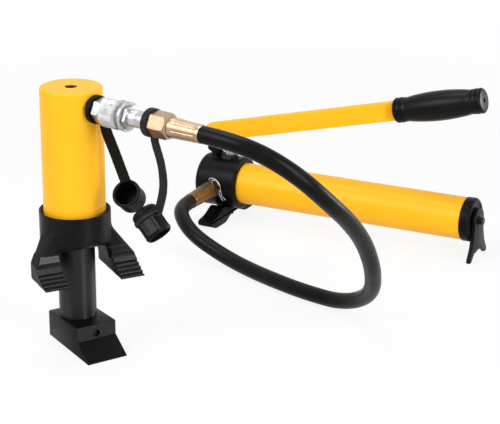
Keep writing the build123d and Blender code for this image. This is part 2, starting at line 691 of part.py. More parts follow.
parts["hose_ferrule_tool"] = COUPLER_AXIS * ferrule(FERRULE_S, HOSE_S)
adapter = rod(ADAPTER_THREAD_D - 2 * RUN_FIT, DELIVERY_END_Y, ADAPTER_Y)
adapter += hex_bar(ADAPTER_HEX, ADAPTER_Y, PUMP_FERRULE_Y)
adapter -= rod(PORT_BORE_D, DELIVERY_END_Y, PUMP_FERRULE_Y)
parts["pump_adapter"] = PORT_AXIS * adapter
parts["thread_tape"] = PORT_AXIS * pipe(TAPE_D, ADAPTER_THREAD_D, TAPE_Y, ADAPTER_Y)
parts["hose_ferrule_pump"] = PORT_AXIS * ferrule(PUMP_FERRULE_Y, HOSE_END_Y)

# Hose: straight runs joined by arcs as large as the runs allow
hose_start = (COUPLER * Pos(HOSE_S, 0, 0)).position
hose_lead = (COUPLER * Pos(HOSE_S + HOSE_LEAD_TOOL, 0, 0)).position
hose_end = (PORT_AXIS * Pos(0, 0, HOSE_END_Y)).position
hose_tail = (PORT_AXIS * Pos(0, 0, HOSE_END_Y + HOSE_LEAD_PUMP)).position
route = [hose_start, hose_lead, *(Vector(*point) for point in HOSE_POINTS), hose_tail, hose_end]
bends = []
for before, corner, after in zip(route, route[1:], route[2:]):
    run_in = corner - before
    run_out = after - corner
    shorter = min(run_in.length, run_out.length)
    bends.append(0.45 * shorter / tan(radians(run_in.get_angle(run_out)) / 2))
hose_line = FilletPolyline(*route, radius=bends)
hose = sweep(Plane(origin=hose_line @ 0, z_dir=hose_line % 0) * Circle(HOSE_D / 2), path=hose_line)
parts["hose"] = hose
print("hose bends", [round(bend) for bend in bends])
print("hose length", round(hose_line.length, 1))

# Pump head: a cast drum with fulcrum ears, the plunger's chamber and the valve drillings
head = rod(HEAD_D, -HEAD_LENGTH, 0)
head = fillet(head.edges().group_by(Axis.Z)[0], HEAD_EDGE)
head = fillet(head.edges().group_by(Axis.Z)[-1], HEAD_LIP)
head = Z_TO_X * (head + rod(2 * TUBE_BORE_R - 2 * RUN_FIT, 0, TUBE_SPIGOT))
ear_r = EAR_LENGTH / 2
ear = slab(
    [
        (FULCRUM_X - EAR_NECK_FRONT, 0),
        (FULCRUM_X - EAR_NECK_FRONT, EAR_NECK_Z),
        (FULCRUM_X - ear_r, EAR_NECK_Z + ear_r / 2),
        (FULCRUM_X - ear_r, FULCRUM_Z),
        (FULCRUM_X + ear_r, FULCRUM_Z),
        (FULCRUM_X + ear_r, EAR_NECK_Z + ear_r / 2),
        (FULCRUM_X + EAR_NECK_BACK, EAR_NECK_Z),
        (FULCRUM_X + EAR_NECK_BACK, 0),
    ],
    EAR_INNER_Y,
    EAR_OUTER_Y,
)
ear += Pos(FULCRUM_X, 0, FULCRUM_Z) * Z_TO_FAR * rod(EAR_LENGTH, EAR_INNER_Y, EAR_OUTER_Y)
head += twin(ear)
head -= Pos(FULCRUM_X, 0, FULCRUM_Z) * Z_TO_FAR * rod(FULCRUM_PIN_D, -EAR_OUTER_Y, EAR_OUTER_Y)
head -= Pos(FRONT_FOOT_X, 0, -HEAD_FLAT_DOWN) * Box(
    FRONT_FOOT_THICK + 2, HEAD_D, HEAD_D, align=(Align.CENTER, Align.CENTER, Align.MAX)
)
chamber = rod(PLUNGER_D + 2 * RUN_FIT, CHAMBER_FOOT_Z, HEAD_R)
chamber += rod(GLAND_THREAD_D + 2 * RUN_FIT, GLAND_SEAT_Z - GLAND_THREAD - PLUNGER_SEAL, HEAD_R)
chamber += rod(GLAND_HEX * 1.25, GLAND_SEAT_Z, HEAD_R + FACE_GAP)
head -= Pos(PLUNGER_X, 0, 0) * chamber
DELIVERY = Pos(DELIVERY_X, -DELIVERY_OUT, 0)
valve_bore = rod(BALL_CHAMBER_D, DELIVERY_SEAT_Z, DELIVERY_ROOF_Z)
valve_bore += rod(DELIVERY_PLUG_D + 2 * RUN_FIT, -HEAD_R, DELIVERY_SEAT_Z)
head -= DELIVERY * valve_bore
head -= Pos(DELIVERY_X, 0, DELIVERY_DRILL_Z) * Z_TO_NEAR * rod(DELIVERY_DRILL, 0, DELIVERY_OUT)
outlet = rod(PORT_BORE_D, DELIVERY_OUT, DELIVERY_END_Y)
outlet += rod(ADAPTER_THREAD_D, DELIVERY_END_Y, HEAD_D)
head -= Pos(DELIVERY_X, 0, 0) * Z_TO_NEAR * outlet
suction_back = SUCTION_SEAT_X - BALL_D - BALL_LIFT - 1
suction = rod(SUCTION_DRILL, PLUNGER_X, suction_back)
suction += rod(BALL_CHAMBER_D, suction_back, TUBE_SPIGOT)
head -= Pos(0, 0, SUCTION_Z) * Z_TO_X * suction
release_bottom = HEAD_R - RELEASE_DEPTH
head -= Pos(RELEASE_X, 0, 0) * Z_TO_FAR * rod(RELEASE_D + 2 * RUN_FIT, release_bottom, HEAD_D)
relief_y = sqrt(HEAD_R**2 - RELIEF_Z**2)
RELIEF = Pos(RELIEF_X, 0, RELIEF_Z) * Z_TO_FAR
relief_face = relief_y - RELIEF_HEAD / 2
head -= RELIEF * rod(RELIEF_D + 2 * RUN_FIT, relief_face - RELIEF_DEPTH, HEAD_D)
head -= RELIEF * rod(RELIEF_HEX * 1.25, relief_face, HEAD_D)
o_ring_d = 2 * TUBE_BORE_R - 2 * RUN_FIT
o_ring = pipe(o_ring_d, o_ring_d - 2 * O_RING_DEPTH, 0, O_RING_WIDTH)
head_ring = Z_TO_X * Pos(0, 0, TUBE_SPIGOT - O_RING_FROM_END - O_RING_WIDTH) * o_ring

# Reservoir tube and rear end cap
parts["reservoir_tube"] = PUMP_AXIS * pipe(TUBE_D, 2 * TUBE_BORE_R, 0, TUBE_LENGTH)
end_cap = rod(TUBE_D + 2 * END_CAP_OVER, END_CAP_X, REAR_FOOT_X)
end_cap = chamfer(end_cap.edges().group_by(Axis.Z)[-1], END_CAP_EDGE)
end_cap += rod(o_ring_d, END_CAP_X - TUBE_SPIGOT, END_CAP_X)
end_cap -= rod(FILLER_THREAD_D, END_CAP_X - TUBE_SPIGOT, REAR_FOOT_X)
cap_ring = Pos(0, 0, END_CAP_X - TUBE_SPIGOT + O_RING_FROM_END) * o_ring
parts["rear_end_cap"] = PUMP_AXIS * (end_cap - cap_ring)
parts["tube_o_rings"] = PUMP * (head_ring + Z_TO_X * cap_ring)

# Feet: arched plates whose turned-up toes stand on the floor
floor = -PUMP_AXIS_Z
pad_z = -HEAD_FLAT_DOWN
front_half = [
    (0, pad_z),
    (FRONT_FOOT_PAD, pad_z),
    (FRONT_FOOT_SPREAD - 41, pad_z + 8),
    (FRONT_FOOT_SPREAD - 25, floor + 18),
    (FRONT_FOOT_SPREAD - 12, floor + 14.5),
    (FRONT_FOOT_SPREAD - 3, floor + 15),
    (FRONT_FOOT_SPREAD, floor + 8),
    (FRONT_FOOT_SPREAD - 16, floor),
    (FRONT_FOOT_SPREAD - 48, floor),
    (FRONT_BOLT_HEX, floor + FRONT_FOOT_ARCH),
    (0, floor + FRONT_FOOT_ARCH),
]
front_start = FRONT_FOOT_X - FRONT_FOOT_THICK / 2
front_foot = bulkhead(both_sides(front_half), front_start, front_start + FRONT_FOOT_THICK)
BOLT = Pos(FRONT_FOOT_X, 0, 0)
bolt_seat = floor + FRONT_FOOT_ARCH
bolt_hole = BOLT * rod(FRONT_BOLT_D, bolt_seat, pad_z + FRONT_BOLT_GRIP)
parts["front_foot"] = PUMP * (front_foot - bolt_hole)
parts["pump_head"] = PUMP * (head - head_ring - bolt_hole)
bolt = rod(FRONT_BOLT_D, bolt_seat, pad_z + FRONT_BOLT_GRIP)
bolt += hex_bar(FRONT_BOLT_HEX, bolt_seat - FRONT_BOLT_HEAD, bolt_seat)
parts["front_foot_bolt"] = PUMP * BOLT * bolt

rear_half = [
    (0, 0),
    (REAR_FOOT_EYE_D / 2, 0),
    (REAR_FOOT_EYE_D / 2 + 1, floor + 34),
    (REAR_FOOT_SPREAD - 10, floor + 19),
    (REAR_FOOT_SPREAD - 2, floor + 7),
    (REAR_FOOT_SPREAD, floor + 3),
    (REAR_FOOT_SPREAD - 2, floor),
    (REAR_FOOT_SPREAD - 8, floor),
    (REAR_FOOT_SPREAD - 18, floor + REAR_FOOT_ARCH - 2),
    (0, floor + REAR_FOOT_ARCH),
]
rear_end = REAR_FOOT_X + REAR_FOOT_THICK
rear_foot = bulkhead(both_sides(rear_half), REAR_FOOT_X, rear_end)
rear_foot += Z_TO_X * rod(REAR_FOOT_EYE_D, REAR_FOOT_X, rear_end)
parts["rear_foot"] = PUMP * (rear_foot - Z_TO_X * rod(FILLER_THREAD_D, REAR_FOOT_X, rear_end))
washer_end = rear_end + FILLER_WASHER
parts["filler_washer"] = PUMP_AXIS * pipe(FILLER_WASHER_D, FILLER_THREAD_D, rear_end, washer_end)
plug = rod(FILLER_THREAD_D, washer_end - FILLER_THREAD, washer_end)
parts["filler_plug"] = PUMP_AXIS * (plug + hex_bar(FILLER_HEX, washer_end, washer_end + FILLER_HEAD))

# Handle: flat bar on the fulcrum pin, with a moulded grip over its tang
bar = Pos(BAR_TO_GRIP / 2 - BAR_NOSE / 2, 0, BAR_RISE) * Box(BAR_TO_GRIP + BAR_NOSE, BAR_THICK, BAR_HEIGHT)
bar = fillet(bar.edges().filter_by(Axis.Y).group_by(Axis.X)[0], BAR_NOSE_ROUND)
bar = fillet(bar.edges().filter_by(Axis.X), BAR_EDGE)
tang = Pos(BAR_TO_GRIP, 0, BAR_RISE) * Box(
    TANG_LENGTH, BAR_THICK, TANG_HEIGHT, align=(Align.MIN, Align.CENTER, Align.CENTER)
)
arm_x = FULCRUM_ARM * cos(radians(HANDLE_TILT))
arm_z = -FULCRUM_ARM * sin(radians(HANDLE_TILT))
bar += tang
bar += Pos(arm_x, 0, arm_z) * Z_TO_FAR * rod(BAR_LUG_D, -BAR_THICK / 2, BAR_THICK / 2)
bar -= Z_TO_FAR * rod(FULCRUM_PIN_D + 2 * RUN_FIT, -BAR_THICK, BAR_THICK)
bar -= Pos(arm_x, 0, arm_z) * Z_TO_FAR * rod(PLUNGER_PIN_D, -BAR_THICK, BAR_THICK)
parts["handle_bar"] = HANDLE * bar

end_r = GRIP_END_D / 2
neck_r = end_r - GRIP_GROOVE_DEPTH
bead_end = 2 * GRIP_BEAD + GRIP_GROOVE


def beads(start, direction):
    """Outline of the two beads at one end of the grip, from the end face inwards."""
    steps = [
        (0, end_r - GRIP_ROUND),
        (GRIP_ROUND / 2, end_r - GRIP_ROUND / 4),
        (GRIP_ROUND, end_r),
        (GRIP_BEAD, end_r),
        (GRIP_BEAD, neck_r),
        (GRIP_BEAD + GRIP_GROOVE, neck_r),
        (GRIP_BEAD + GRIP_GROOVE, end_r),
        (bead_end, end_r),
        (bead_end, neck_r),
    ]
    return [(start + direction * along, radius) for along, radius in steps]


left = beads(0, 1)
right = beads(GRIP_LENGTH, -1)
outline = [
    Polyline((0, 0), *left),
    ThreePointArc(left[-1], (GRIP_LENGTH / 2, GRIP_BULGE_D / 2), right[-1]),
    Polyline(*reversed(right), (GRIP_LENGTH, 0)),
    Line((GRIP_LENGTH, 0), (0, 0)),
]
grip = Pos(BAR_TO_GRIP, 0, BAR_RISE) * revolve(make_face(Curve() + outline), Axis.X)
grip -= tang
grip -= Pos(0, 0, BAR_RISE) * Z_TO_X * rod(GRIP_HOLE_D, BAR_TO_GRIP + TANG_LENGTH, BAR_TO_GRIP + GRIP_LENGTH)
parts["handle_grip"] = HANDLE * grip

FULCRUM = PUMP * Pos(FULCRUM_X, 0, FULCRUM_Z)
CROSS_PIN = PUMP * Pos(PLUNGER_X, 0, FULCRUM_Z)
pin_y = EAR_OUTER_Y + FACE_GAP + CLIP_THICK + PIN_OVERHANG / 2
parts["fulcrum_pin"] = FULCRUM * Z_TO_FAR * rod(FULCRUM_PIN_D, -pin_y, pin_y)
parts["fulcrum_pin_clips"] = FULCRUM * clips(FULCRUM_PIN_D, EAR_OUTER_Y + FACE_GAP)
cross_y = CHEEK_OUTER_Y + FACE_GAP + CLIP_THICK + PIN_OVERHANG / 2
parts["plunger_pin"] = CROSS_PIN * Z_TO_FAR * rod(PLUNGER_PIN_D, -cross_y, cross_y)
parts["plunger_pin_clips"] = CROSS_PIN * clips(PLUNGER_PIN_D, CHEEK_OUTER_Y + FACE_GAP)

# Plunger and its fork: the fork's level slots take up the pin's sideways travel
PLUNGER = PUMP * Pos(PLUNGER_X, 0, 0)
web_half = PLUNGER_D / 2
shoulder_z = FORK_WEB_TOP_Z + FORK_SHOULDER_UP
cheek = slab(
    [
        (-web_half, FORK_WEB_Z),
        (-web_half, FORK_WEB_TOP_Z),
        (-SLOT_BACK - FORK_SIDE, shoulder_z),
        (-SLOT_BACK - FORK_SIDE, FULCRUM_Z + FORK_TOP_UP),
        (SLOT_FRONT + FORK_SIDE, FULCRUM_Z + FORK_TOP_UP),
        (SLOT_FRONT + FORK_SIDE, shoulder_z),
        (web_half, FORK_WEB_TOP_Z),
        (web_half, FORK_WEB_Z),
    ],
    EAR_INNER_Y,
    CHEEK_OUTER_Y,
)
fork = twin(cheek)
fork += Pos(0, 0, FORK_WEB_Z + FORK_WEB / 2) * Box(2 * web_half, 2 * CHEEK_OUTER_Y, FORK_WEB)
fork -= rod(PLUNGER_STUD_D, FORK_WEB_Z, FORK_WEB_TOP_Z)
slot_radius = PLUNGER_PIN_D / 2 + SLOT_SLACK
slot_length = SLOT_BACK + SLOT_FRONT
slot = Pos((SLOT_FRONT - SLOT_BACK) / 2, 0, FULCRUM_Z) * Z_TO_FAR * extrude(
    SlotOverall(slot_length, 2 * slot_radius), 2 * CHEEK_OUTER_Y, both=True
)
parts["plunger_fork"] = PLUNGER * (fork - slot)
plunger = rod(PLUNGER_D, PLUNGER_FOOT_Z, FORK_WEB_Z) + rod(PLUNGER_STUD_D, FORK_WEB_Z, FORK_WEB_TOP_Z)
parts["plunger"] = PLUNGER * plunger

thread_z = GLAND_SEAT_Z - GLAND_THREAD
gland = rod(GLAND_THREAD_D, thread_z, GLAND_SEAT_Z) + hex_bar(GLAND_HEX, GLAND_SEAT_Z, GLAND_TOP_Z)
parts["plunger_gland"] = PLUNGER * (gland - rod(PLUNGER_D + 2 * RUN_FIT, thread_z, GLAND_TOP_Z))
seal_bore = PLUNGER_D + 2 * RUN_FIT
parts["plunger_seal"] = PLUNGER * pipe(GLAND_THREAD_D, seal_bore, thread_z - PLUNGER_SEAL, thread_z)

# Valves: two balls that lift, the release screw on the far side, and the relief valve beside it
ball_r = BALL_D / 2
ball_z = DELIVERY_SEAT_Z + ball_r + RUN_FIT
coil_up = sqrt((ball_r + DELIVERY_WIRE / 2) ** 2 - (DELIVERY_SPRING_D / 2) ** 2) - DELIVERY_WIRE / 2
spring_foot = ball_z + coil_up + RUN_FIT
spring_top = DELIVERY_ROOF_Z - RUN_FIT
delivery_spring = coil(DELIVERY_SPRING_D, DELIVERY_WIRE, spring_foot, spring_top, DELIVERY_TURNS)
plug_foot = DELIVERY_PLUG_SUNK - sqrt(HEAD_R**2 - DELIVERY_OUT**2)
valve_plug = rod(DELIVERY_PLUG_D, plug_foot, DELIVERY_SEAT_Z)
valve_plug -= rod(DELIVERY_DRILL, DELIVERY_DRILL_Z, DELIVERY_SEAT_Z)
valve_plug -= Pos(0, 0, DELIVERY_DRILL_Z) * Z_TO_FAR * rod(DELIVERY_DRILL, 0, DELIVERY_PLUG_D)
valve_plug -= hex_bar(DELIVERY_PLUG_KEY, plug_foot, plug_foot + DELIVERY_PLUG_KEY)
parts["delivery_ball"] = PUMP * DELIVERY * Pos(0, 0, ball_z) * Sphere(ball_r)
parts["delivery_spring"] = PUMP * DELIVERY * delivery_spring
parts["delivery_plug"] = PUMP * DELIVERY * valve_plug

SUCTION = PUMP * Pos(0, 0, SUCTION_Z) * Z_TO_X
parts["suction_ball"] = SUCTION * Pos(0, 0, SUCTION_SEAT_X - ball_r - RUN_FIT) * Sphere(ball_r)
pipe_end = TUBE_SPIGOT + SUCTION_PIPE_LENGTH
suction_pipe = rod(BALL_CHAMBER_D, SUCTION_SEAT_X, TUBE_SPIGOT) + rod(SUCTION_PIPE_D, TUBE_SPIGOT, pipe_end)
parts["suction_pipe"] = SUCTION * (suction_pipe - rod(SUCTION_BORE_D, SUCTION_SEAT_X, pipe_end))
strainer = rod(STRAINER_D, pipe_end - STRAINER_LENGTH, pipe_end + CAP_WALL)
strainer -= rod(SUCTION_PIPE_D, pipe_end - STRAINER_LENGTH, pipe_end)
parts["suction_strainer"] = SUCTION * strainer

RELEASE = PUMP * Pos(RELEASE_X, 0, 0) * Z_TO_FAR
knob_start = HEAD_R + RELEASE_STEM
knob_end = knob_start + RELEASE_KNOB_LENGTH
spindle = rod(RELEASE_D, release_bottom, knob_end - CAP_WALL)
parts["release_spindle"] = RELEASE * spindle
knob = rod(RELEASE_KNOB_D, knob_start, knob_end)
knob = fillet(knob.edges().filter_by(GeomType.CIRCLE), RIDGE_DEPTH)
flutes = PolarLocations(RELEASE_KNOB_D / 2 + KNOB_FLUTE_D / 4, KNOB_FLUTES)
knob -= [place * rod(KNOB_FLUTE_D, knob_start, knob_end) for place in flutes]
parts["release_knob"] = RELEASE * (knob - rod(RELEASE_D, knob_start, knob_end - CAP_WALL))
relief = rod(RELIEF_D, relief_face - RELIEF_DEPTH, relief_face)
relief += hex_bar(RELIEF_HEX, relief_face, relief_face + RELIEF_HEAD)
parts["relief_valve_plug"] = PUMP * RELIEF * relief

os.makedirs("parts", exist_ok=True)
for name, piece in parts.items():
    export_step(piece, f"parts/{name}.step")
print(len(parts), "nodes")
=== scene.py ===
# %% [markdown]
# A hydraulic door breaker, dressed for a studio picture. It is two tools on one hose: a yellow spreader
# cylinder that stands on a wedge foot, and a yellow lever pump that lies beside it. The working solids are
# loaded first as a fixed frame in metres. This file never moves them: it gives them finishes, or covers one
# with a finer mesh of the same size.

# %% Load the frame and keep its box
import json
from math import atan2, cos, hypot, pi, radians, sin, sqrt, tau

import bmesh
import bpy
from mathutils import Matrix, Vector
from mathutils.geometry import interpolate_bezier


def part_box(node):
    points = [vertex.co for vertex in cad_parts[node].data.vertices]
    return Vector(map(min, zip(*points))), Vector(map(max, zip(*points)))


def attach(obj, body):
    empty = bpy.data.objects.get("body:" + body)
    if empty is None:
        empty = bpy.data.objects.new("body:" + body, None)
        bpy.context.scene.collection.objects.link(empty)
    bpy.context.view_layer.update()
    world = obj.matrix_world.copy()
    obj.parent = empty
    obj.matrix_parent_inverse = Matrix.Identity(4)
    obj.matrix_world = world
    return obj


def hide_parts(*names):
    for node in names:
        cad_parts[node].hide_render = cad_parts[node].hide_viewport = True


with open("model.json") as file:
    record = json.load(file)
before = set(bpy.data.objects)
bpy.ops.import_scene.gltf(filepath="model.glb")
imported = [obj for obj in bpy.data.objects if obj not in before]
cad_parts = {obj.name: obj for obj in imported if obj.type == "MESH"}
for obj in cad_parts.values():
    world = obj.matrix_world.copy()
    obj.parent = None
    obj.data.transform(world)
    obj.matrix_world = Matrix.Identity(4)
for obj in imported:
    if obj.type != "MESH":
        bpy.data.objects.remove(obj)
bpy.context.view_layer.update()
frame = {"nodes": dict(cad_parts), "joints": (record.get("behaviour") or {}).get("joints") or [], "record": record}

MM = 0.001

# %% [markdown]
# Each sub-assembly has its own direction: the claws and the wedge point one way, the coupler another, and
# the pump lies along X. Working in a local frame keeps every shape simple, so a few matrices come first.
# Their places are read from the frame, from a node's box or a joint's axis, so that a piece can't drift
# from the solid that it covers.

# %% Local frames
TOOL_TURN = radians(-29.4)
HANDLE_TILT = radians(13.6)
joints = {joint["name"]: joint for joint in frame["joints"]}
turn_z_to_x = Matrix.Rotation(pi / 2, 4, "Y")
turn_z_to_near = Matrix.Rotation(pi / 2, 4, "X")
stand_across = Matrix(((0, 0, 1, 0), (1, 0, 0, 0), (0, 1, 0, 0), (0, 0, 0, 1)))


def middle(node):
    """The middle of a node's box."""
    low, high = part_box(node)
    return (Vector(low) + Vector(high)) / 2


def local_box(node, place):
    """A node's lowest and highest corners, measured in a local frame."""
    inverse = place.inverted()
    points = [inverse @ vertex.co for vertex in frame["nodes"][node].data.vertices]
    low = Vector(min(point[axis] for point in points) for axis in range(3))
    high = Vector(max(point[axis] for point in points) for axis in range(3))
    return low, high


barrel_middle = middle("cylinder_barrel")
TOOL = Matrix.Translation((barrel_middle.x, barrel_middle.y, 0)) @ Matrix.Rotation(TOOL_TURN, 4, "Z")
coupler_axis = joints["sleeve_turn"]["axis"]
COUPLER_TURN = atan2(coupler_axis[1], coupler_axis[0])
COUPLER = Matrix.Translation(joints["sleeve_turn"]["pos_m"]) @ Matrix.Rotation(COUPLER_TURN, 4, "Z")
COUPLER_LINE = COUPLER @ turn_z_to_x
tube_middle = middle("reservoir_tube")
PUMP = Matrix.Translation((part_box("reservoir_tube")[0][0], tube_middle.y, tube_middle.z))
PUMP_LINE = PUMP @ turn_z_to_x
port_middle = middle("hose_ferrule_pump")
PORT_LINE = Matrix.Translation((port_middle.x, tube_middle.y, tube_middle.z)) @ turn_z_to_near
HANDLE = Matrix.Translation(joints["handle_swing"]["pos_m"]) @ Matrix.Rotation(-HANDLE_TILT, 4, "Y")
print("tool at", TOOL.translation[:], "pump at", PUMP.translation[:])

# %% [markdown]
# The camera comes before any shape, because every comparison with the picture depends on it. Its place and
# angle were worked out from the round top of the barrel, the pump's long edges and the feet on the floor. A
# long lens from a few metres away gives the picture's slight perspective.

# %% Camera
camera_data = bpy.data.cameras.new("studio_camera")
camera_data.sensor_width = 36
camera_data.lens = 133.9
camera_data.clip_end = 50
camera = bpy.data.objects.new("studio_camera", camera_data)
camera.location = (1.0381, -2.0572, 0.916)
camera.rotation_euler = (radians(70.78), 0, radians(27.05))
bpy.context.scene.collection.objects.link(camera)
bpy.context.scene.camera = camera
bpy.context.scene.view_settings.view_transform = "Standard"
print("camera", tuple(camera.location))

# %% [markdown]
# Finishes are written as short formulas. A shader graph is a set of boxes joined by wires, and long ones
# are hard to read in code, so a small class stands for a wire: adding or multiplying two of them adds the
# Math box that does it. One method makes every other kind of box: its settings go in first, then the values
# or wires of its sockets.

# %% Wires and graphs
class Wire:
    """An output of a shader node that can be used in sums."""

    def __init__(self, graph, socket):
        self.graph = graph
        self.socket = socket

    def __add__(self, other):
        return self.graph.math("ADD", self, other)

    def __rsub__(self, other):
        return self.graph.math("SUBTRACT", other, self)

    def __mul__(self, other):
        return self.graph.math("MULTIPLY", self, other)

    __radd__ = __add__
    __rmul__ = __mul__


class Graph:
    """A shader graph, of a material or of the world."""

    def __init__(self, tree):
        self.tree = tree

    def plug(self, socket, value):
        """Links a wire to a socket, or sets the socket's own value."""
        if isinstance(value, Wire):
            self.tree.links.new(value.socket, socket)
        elif hasattr(socket.default_value, "__len__") and len(socket.default_value) == 4:
            socket.default_value = (*value[:3], 1)
        else:
            socket.default_value = value

    def node(self, kind, settings=None, sockets=None, output=0):
        """Adds a node: its settings first, then its sockets, and returns one of its outputs."""
        made = self.tree.nodes.new(kind)
        for key, value in (settings or {}).items():
            if key == "stops":
                for stop, (place, shade) in zip(made.color_ramp.elements, value):
                    stop.position = place
                    stop.color = (shade, shade, shade, 1)
            else:
                setattr(made, key, value)
        for key, value in (sockets or {}).items():
            self.plug(made.inputs[key], value)
        return Wire(self, made.outputs[output])

    def math(self, operation, first, second):
        return self.node("ShaderNodeMath", {"operation": operation}, {0: first, 1: second})


print("wires and graphs ready")

# %% [markdown]
# A finish is a graph round the Principled shader, which can stand for paint, metal and rubber alike.
# Patterns could be painted pictures, but then every piece would have to be unrolled. Noise that reads
# Object coordinates needs nothing of the kind: it keeps its size in metres and stays with the piece. A few
# methods make the nodes that finishes share.

# %% Finishes
class Finish(Graph):
    """A material built around one Principled shader."""

    def __init__(self, name, **sockets):
        self.material = bpy.data.materials.new(name)
        self.material.use_nodes = True
        super().__init__(self.material.node_tree)
        self.shader = self.tree.nodes["Principled BSDF"]
        self.object_place = self.node("ShaderNodeTexCoord", output="Object")
        self.set(**sockets)

    def noise(self, scale, detail=2.0, roughness=0.5, place=None):
        sockets = {"Scale": scale, "Detail": detail, "Roughness": roughness}
        sockets["Vector"] = place or self.object_place
        return self.node("ShaderNodeTexNoise", None, sockets)

    def stretch(self, scale):
        """Object coordinates, stretched for a pattern that runs one way."""
        return self.node("ShaderNodeMapping", None, {"Vector": self.object_place, "Scale": scale})

    def step(self, value, low, high):
        """0 below low and 1 above high, with a slope between."""
        return self.node("ShaderNodeValToRGB", {"stops": [(low, 0), (high, 1)]}, {"Fac": value})

    def mix(self, share, first, second):
        """One colour turning into another: sockets 6, 7 and output 2 are a Mix node's colour ones."""
        return self.node("ShaderNodeMix", {"data_type": "RGBA"}, {0: share, 6: first, 7: second}, 2)

    def bump(self, height, strength, distance):
        sockets = {"Height": height, "Strength": strength, "Distance": distance}
        return self.node("ShaderNodeBump", None, sockets)

    def face_value(self, name):
        """A value that is kept with each face of the mesh."""
        return self.node("ShaderNodeAttribute", {"attribute_name": name}, output="Fac")

    def set(self, **sockets):
        """Sets or links the shader's own sockets; an underscore stands for a space."""
        for key, value in sockets.items():
            self.plug(self.shader.inputs[key.replace("_", " ")], value)


finishes = {}
print("ready to mix finishes")

# %% [markdown]
# The yellow is a sprayed enamel: even, half glossy, with the faint dimples of paint that dried before it
# ran flat. A single colour would look like plastic, so a slow cloud shifts its shade and gloss, and a fine
# noise dimples it.

# %% Yellow enamel
def yellow_enamel():
    finish = Finish("yellow_enamel", Coat_Roughness=0.15, Specular_IOR_Level=0.18)
    cloud = finish.noise(14, 3)
    dimples = finish.noise(1100, 1)
    dust = finish.step(finish.noise(420, 4, 0.7), 0.64, 0.78)
    shade = finish.mix(cloud, (0.90, 0.435, 0.005), (0.96, 0.480, 0.010))
    finish.set(Base_Color=finish.mix(dust * 0.14, shade, (0.55, 0.25, 0.02)))
    finish.set(Roughness=0.36 + 0.14 * cloud + 0.2 * dust, Coat_Weight=0.04 + 0.06 * cloud)
    finish.set(Normal=finish.bump(dimples, 0.10, 0.0003))
    return finish.material


finishes["yellow_paint"] = yellow_enamel()
print("made", finishes["yellow_paint"].name)

# %% [markdown]
# The claws and the pump head are cast, the wedge is forged and the feet are cut from plate, and all of them
# are sprayed satin black. A smooth black would look like plastic. The grain of the metal still shows
# through the paint, so a coarse and a fine noise share the bump, and handled spots are a little smoother.
# The collar's ring has turned marks, which draw the light out into a streak, and Anisotropic does that.
# A value kept with each face mixes in a light grey there: painted highlights on the faces that catch
# the light.

# %% Black paint over rough metal
def black_casting(name, turned_marks=0.0, with_painted_light=False, gloss=0.08):
    finish = Finish(name, Specular_IOR_Level=gloss + 0.04 * turned_marks)
    finish.set(Anisotropic=turned_marks, Anisotropic_Rotation=0.25)
    grain = finish.noise(900, 3, 0.6)
    swell = finish.noise(160, 2)
    handled_and_sheen = finish.step(finish.noise(30, 3), 0.42, 0.62)
    paint = finish.mix(swell, (0.0022, 0.0019, 0.0022), (0.0056, 0.0049, 0.0055))
    # Painted highlights: a light grey mixed in face by face, broken up by the grain.
    if with_painted_light:
        painted_light_share = finish.face_value("painted_light") * finish.step(grain, 0.30, 0.52)
        paint = finish.mix(painted_light_share, paint, (0.34, 0.33, 0.33))
    satin = 0.36 + 0.12 * turned_marks
    finish.set(Base_Color=paint, Roughness=satin - 0.11 * handled_and_sheen + 0.06 * grain)
    finish.set(Normal=finish.bump(grain * 0.6 + swell * 0.8, 0.22, 0.0005))
    return finish.material


finishes["black_paint"] = black_casting("black_casting_paint")
collar_paint = black_casting("turned_collar_paint", turned_marks=0.75, with_painted_light=True)
wedge_highlight_paint = black_casting("casting_paint_with_highlight", with_painted_light=True)
foot_paint = black_casting("flat_foot_paint", gloss=0.04)
print("made", finishes["black_paint"].name, collar_paint.name, wedge_highlight_paint.name, foot_paint.name)

# %% [markdown]
# The ram is turned steel with a black oxide skin. Turning leaves fine rings round the bar, so the noise is
# squeezed along Z: the same value all the way round, and a new one every fraction of a millimetre. Bare
# steel shows only in small pieces that lie in all directions, so its noise is the same each way.

# %% Blackened and bare turned steel
def blackened_steel():
    finish = Finish("blackened_steel", Specular_IOR_Level=0.28, Anisotropic=0.85, Anisotropic_Rotation=0.25)
    rings = finish.noise(1.0, 3, 0.6, finish.stretch((6, 6, 2600)))
    smear = finish.noise(45, 3)
    finish.set(Base_Color=finish.mix(smear, (0.0060, 0.0052, 0.0050), (0.0130, 0.0115, 0.0108)))
    finish.set(Roughness=0.36 + 0.12 * rings)
    finish.set(Normal=finish.bump(rings, 0.10, 0.0002))
    return finish.material


def turned_steel():
    finish = Finish("turned_steel", Metallic=1.0)
    tool_marks = finish.noise(900)
    finish.set(Base_Color=finish.mix(tool_marks, (0.42, 0.42, 0.43), (0.60, 0.60, 0.61)))
    finish.set(Roughness=0.26 + 0.14 * tool_marks, Normal=finish.bump(tool_marks, 0.08, 0.0002))
    return finish.material


finishes["black_oxide"] = blackened_steel()
finishes["steel"] = turned_steel()
print("made", finishes["black_oxide"].name, finishes["steel"].name)
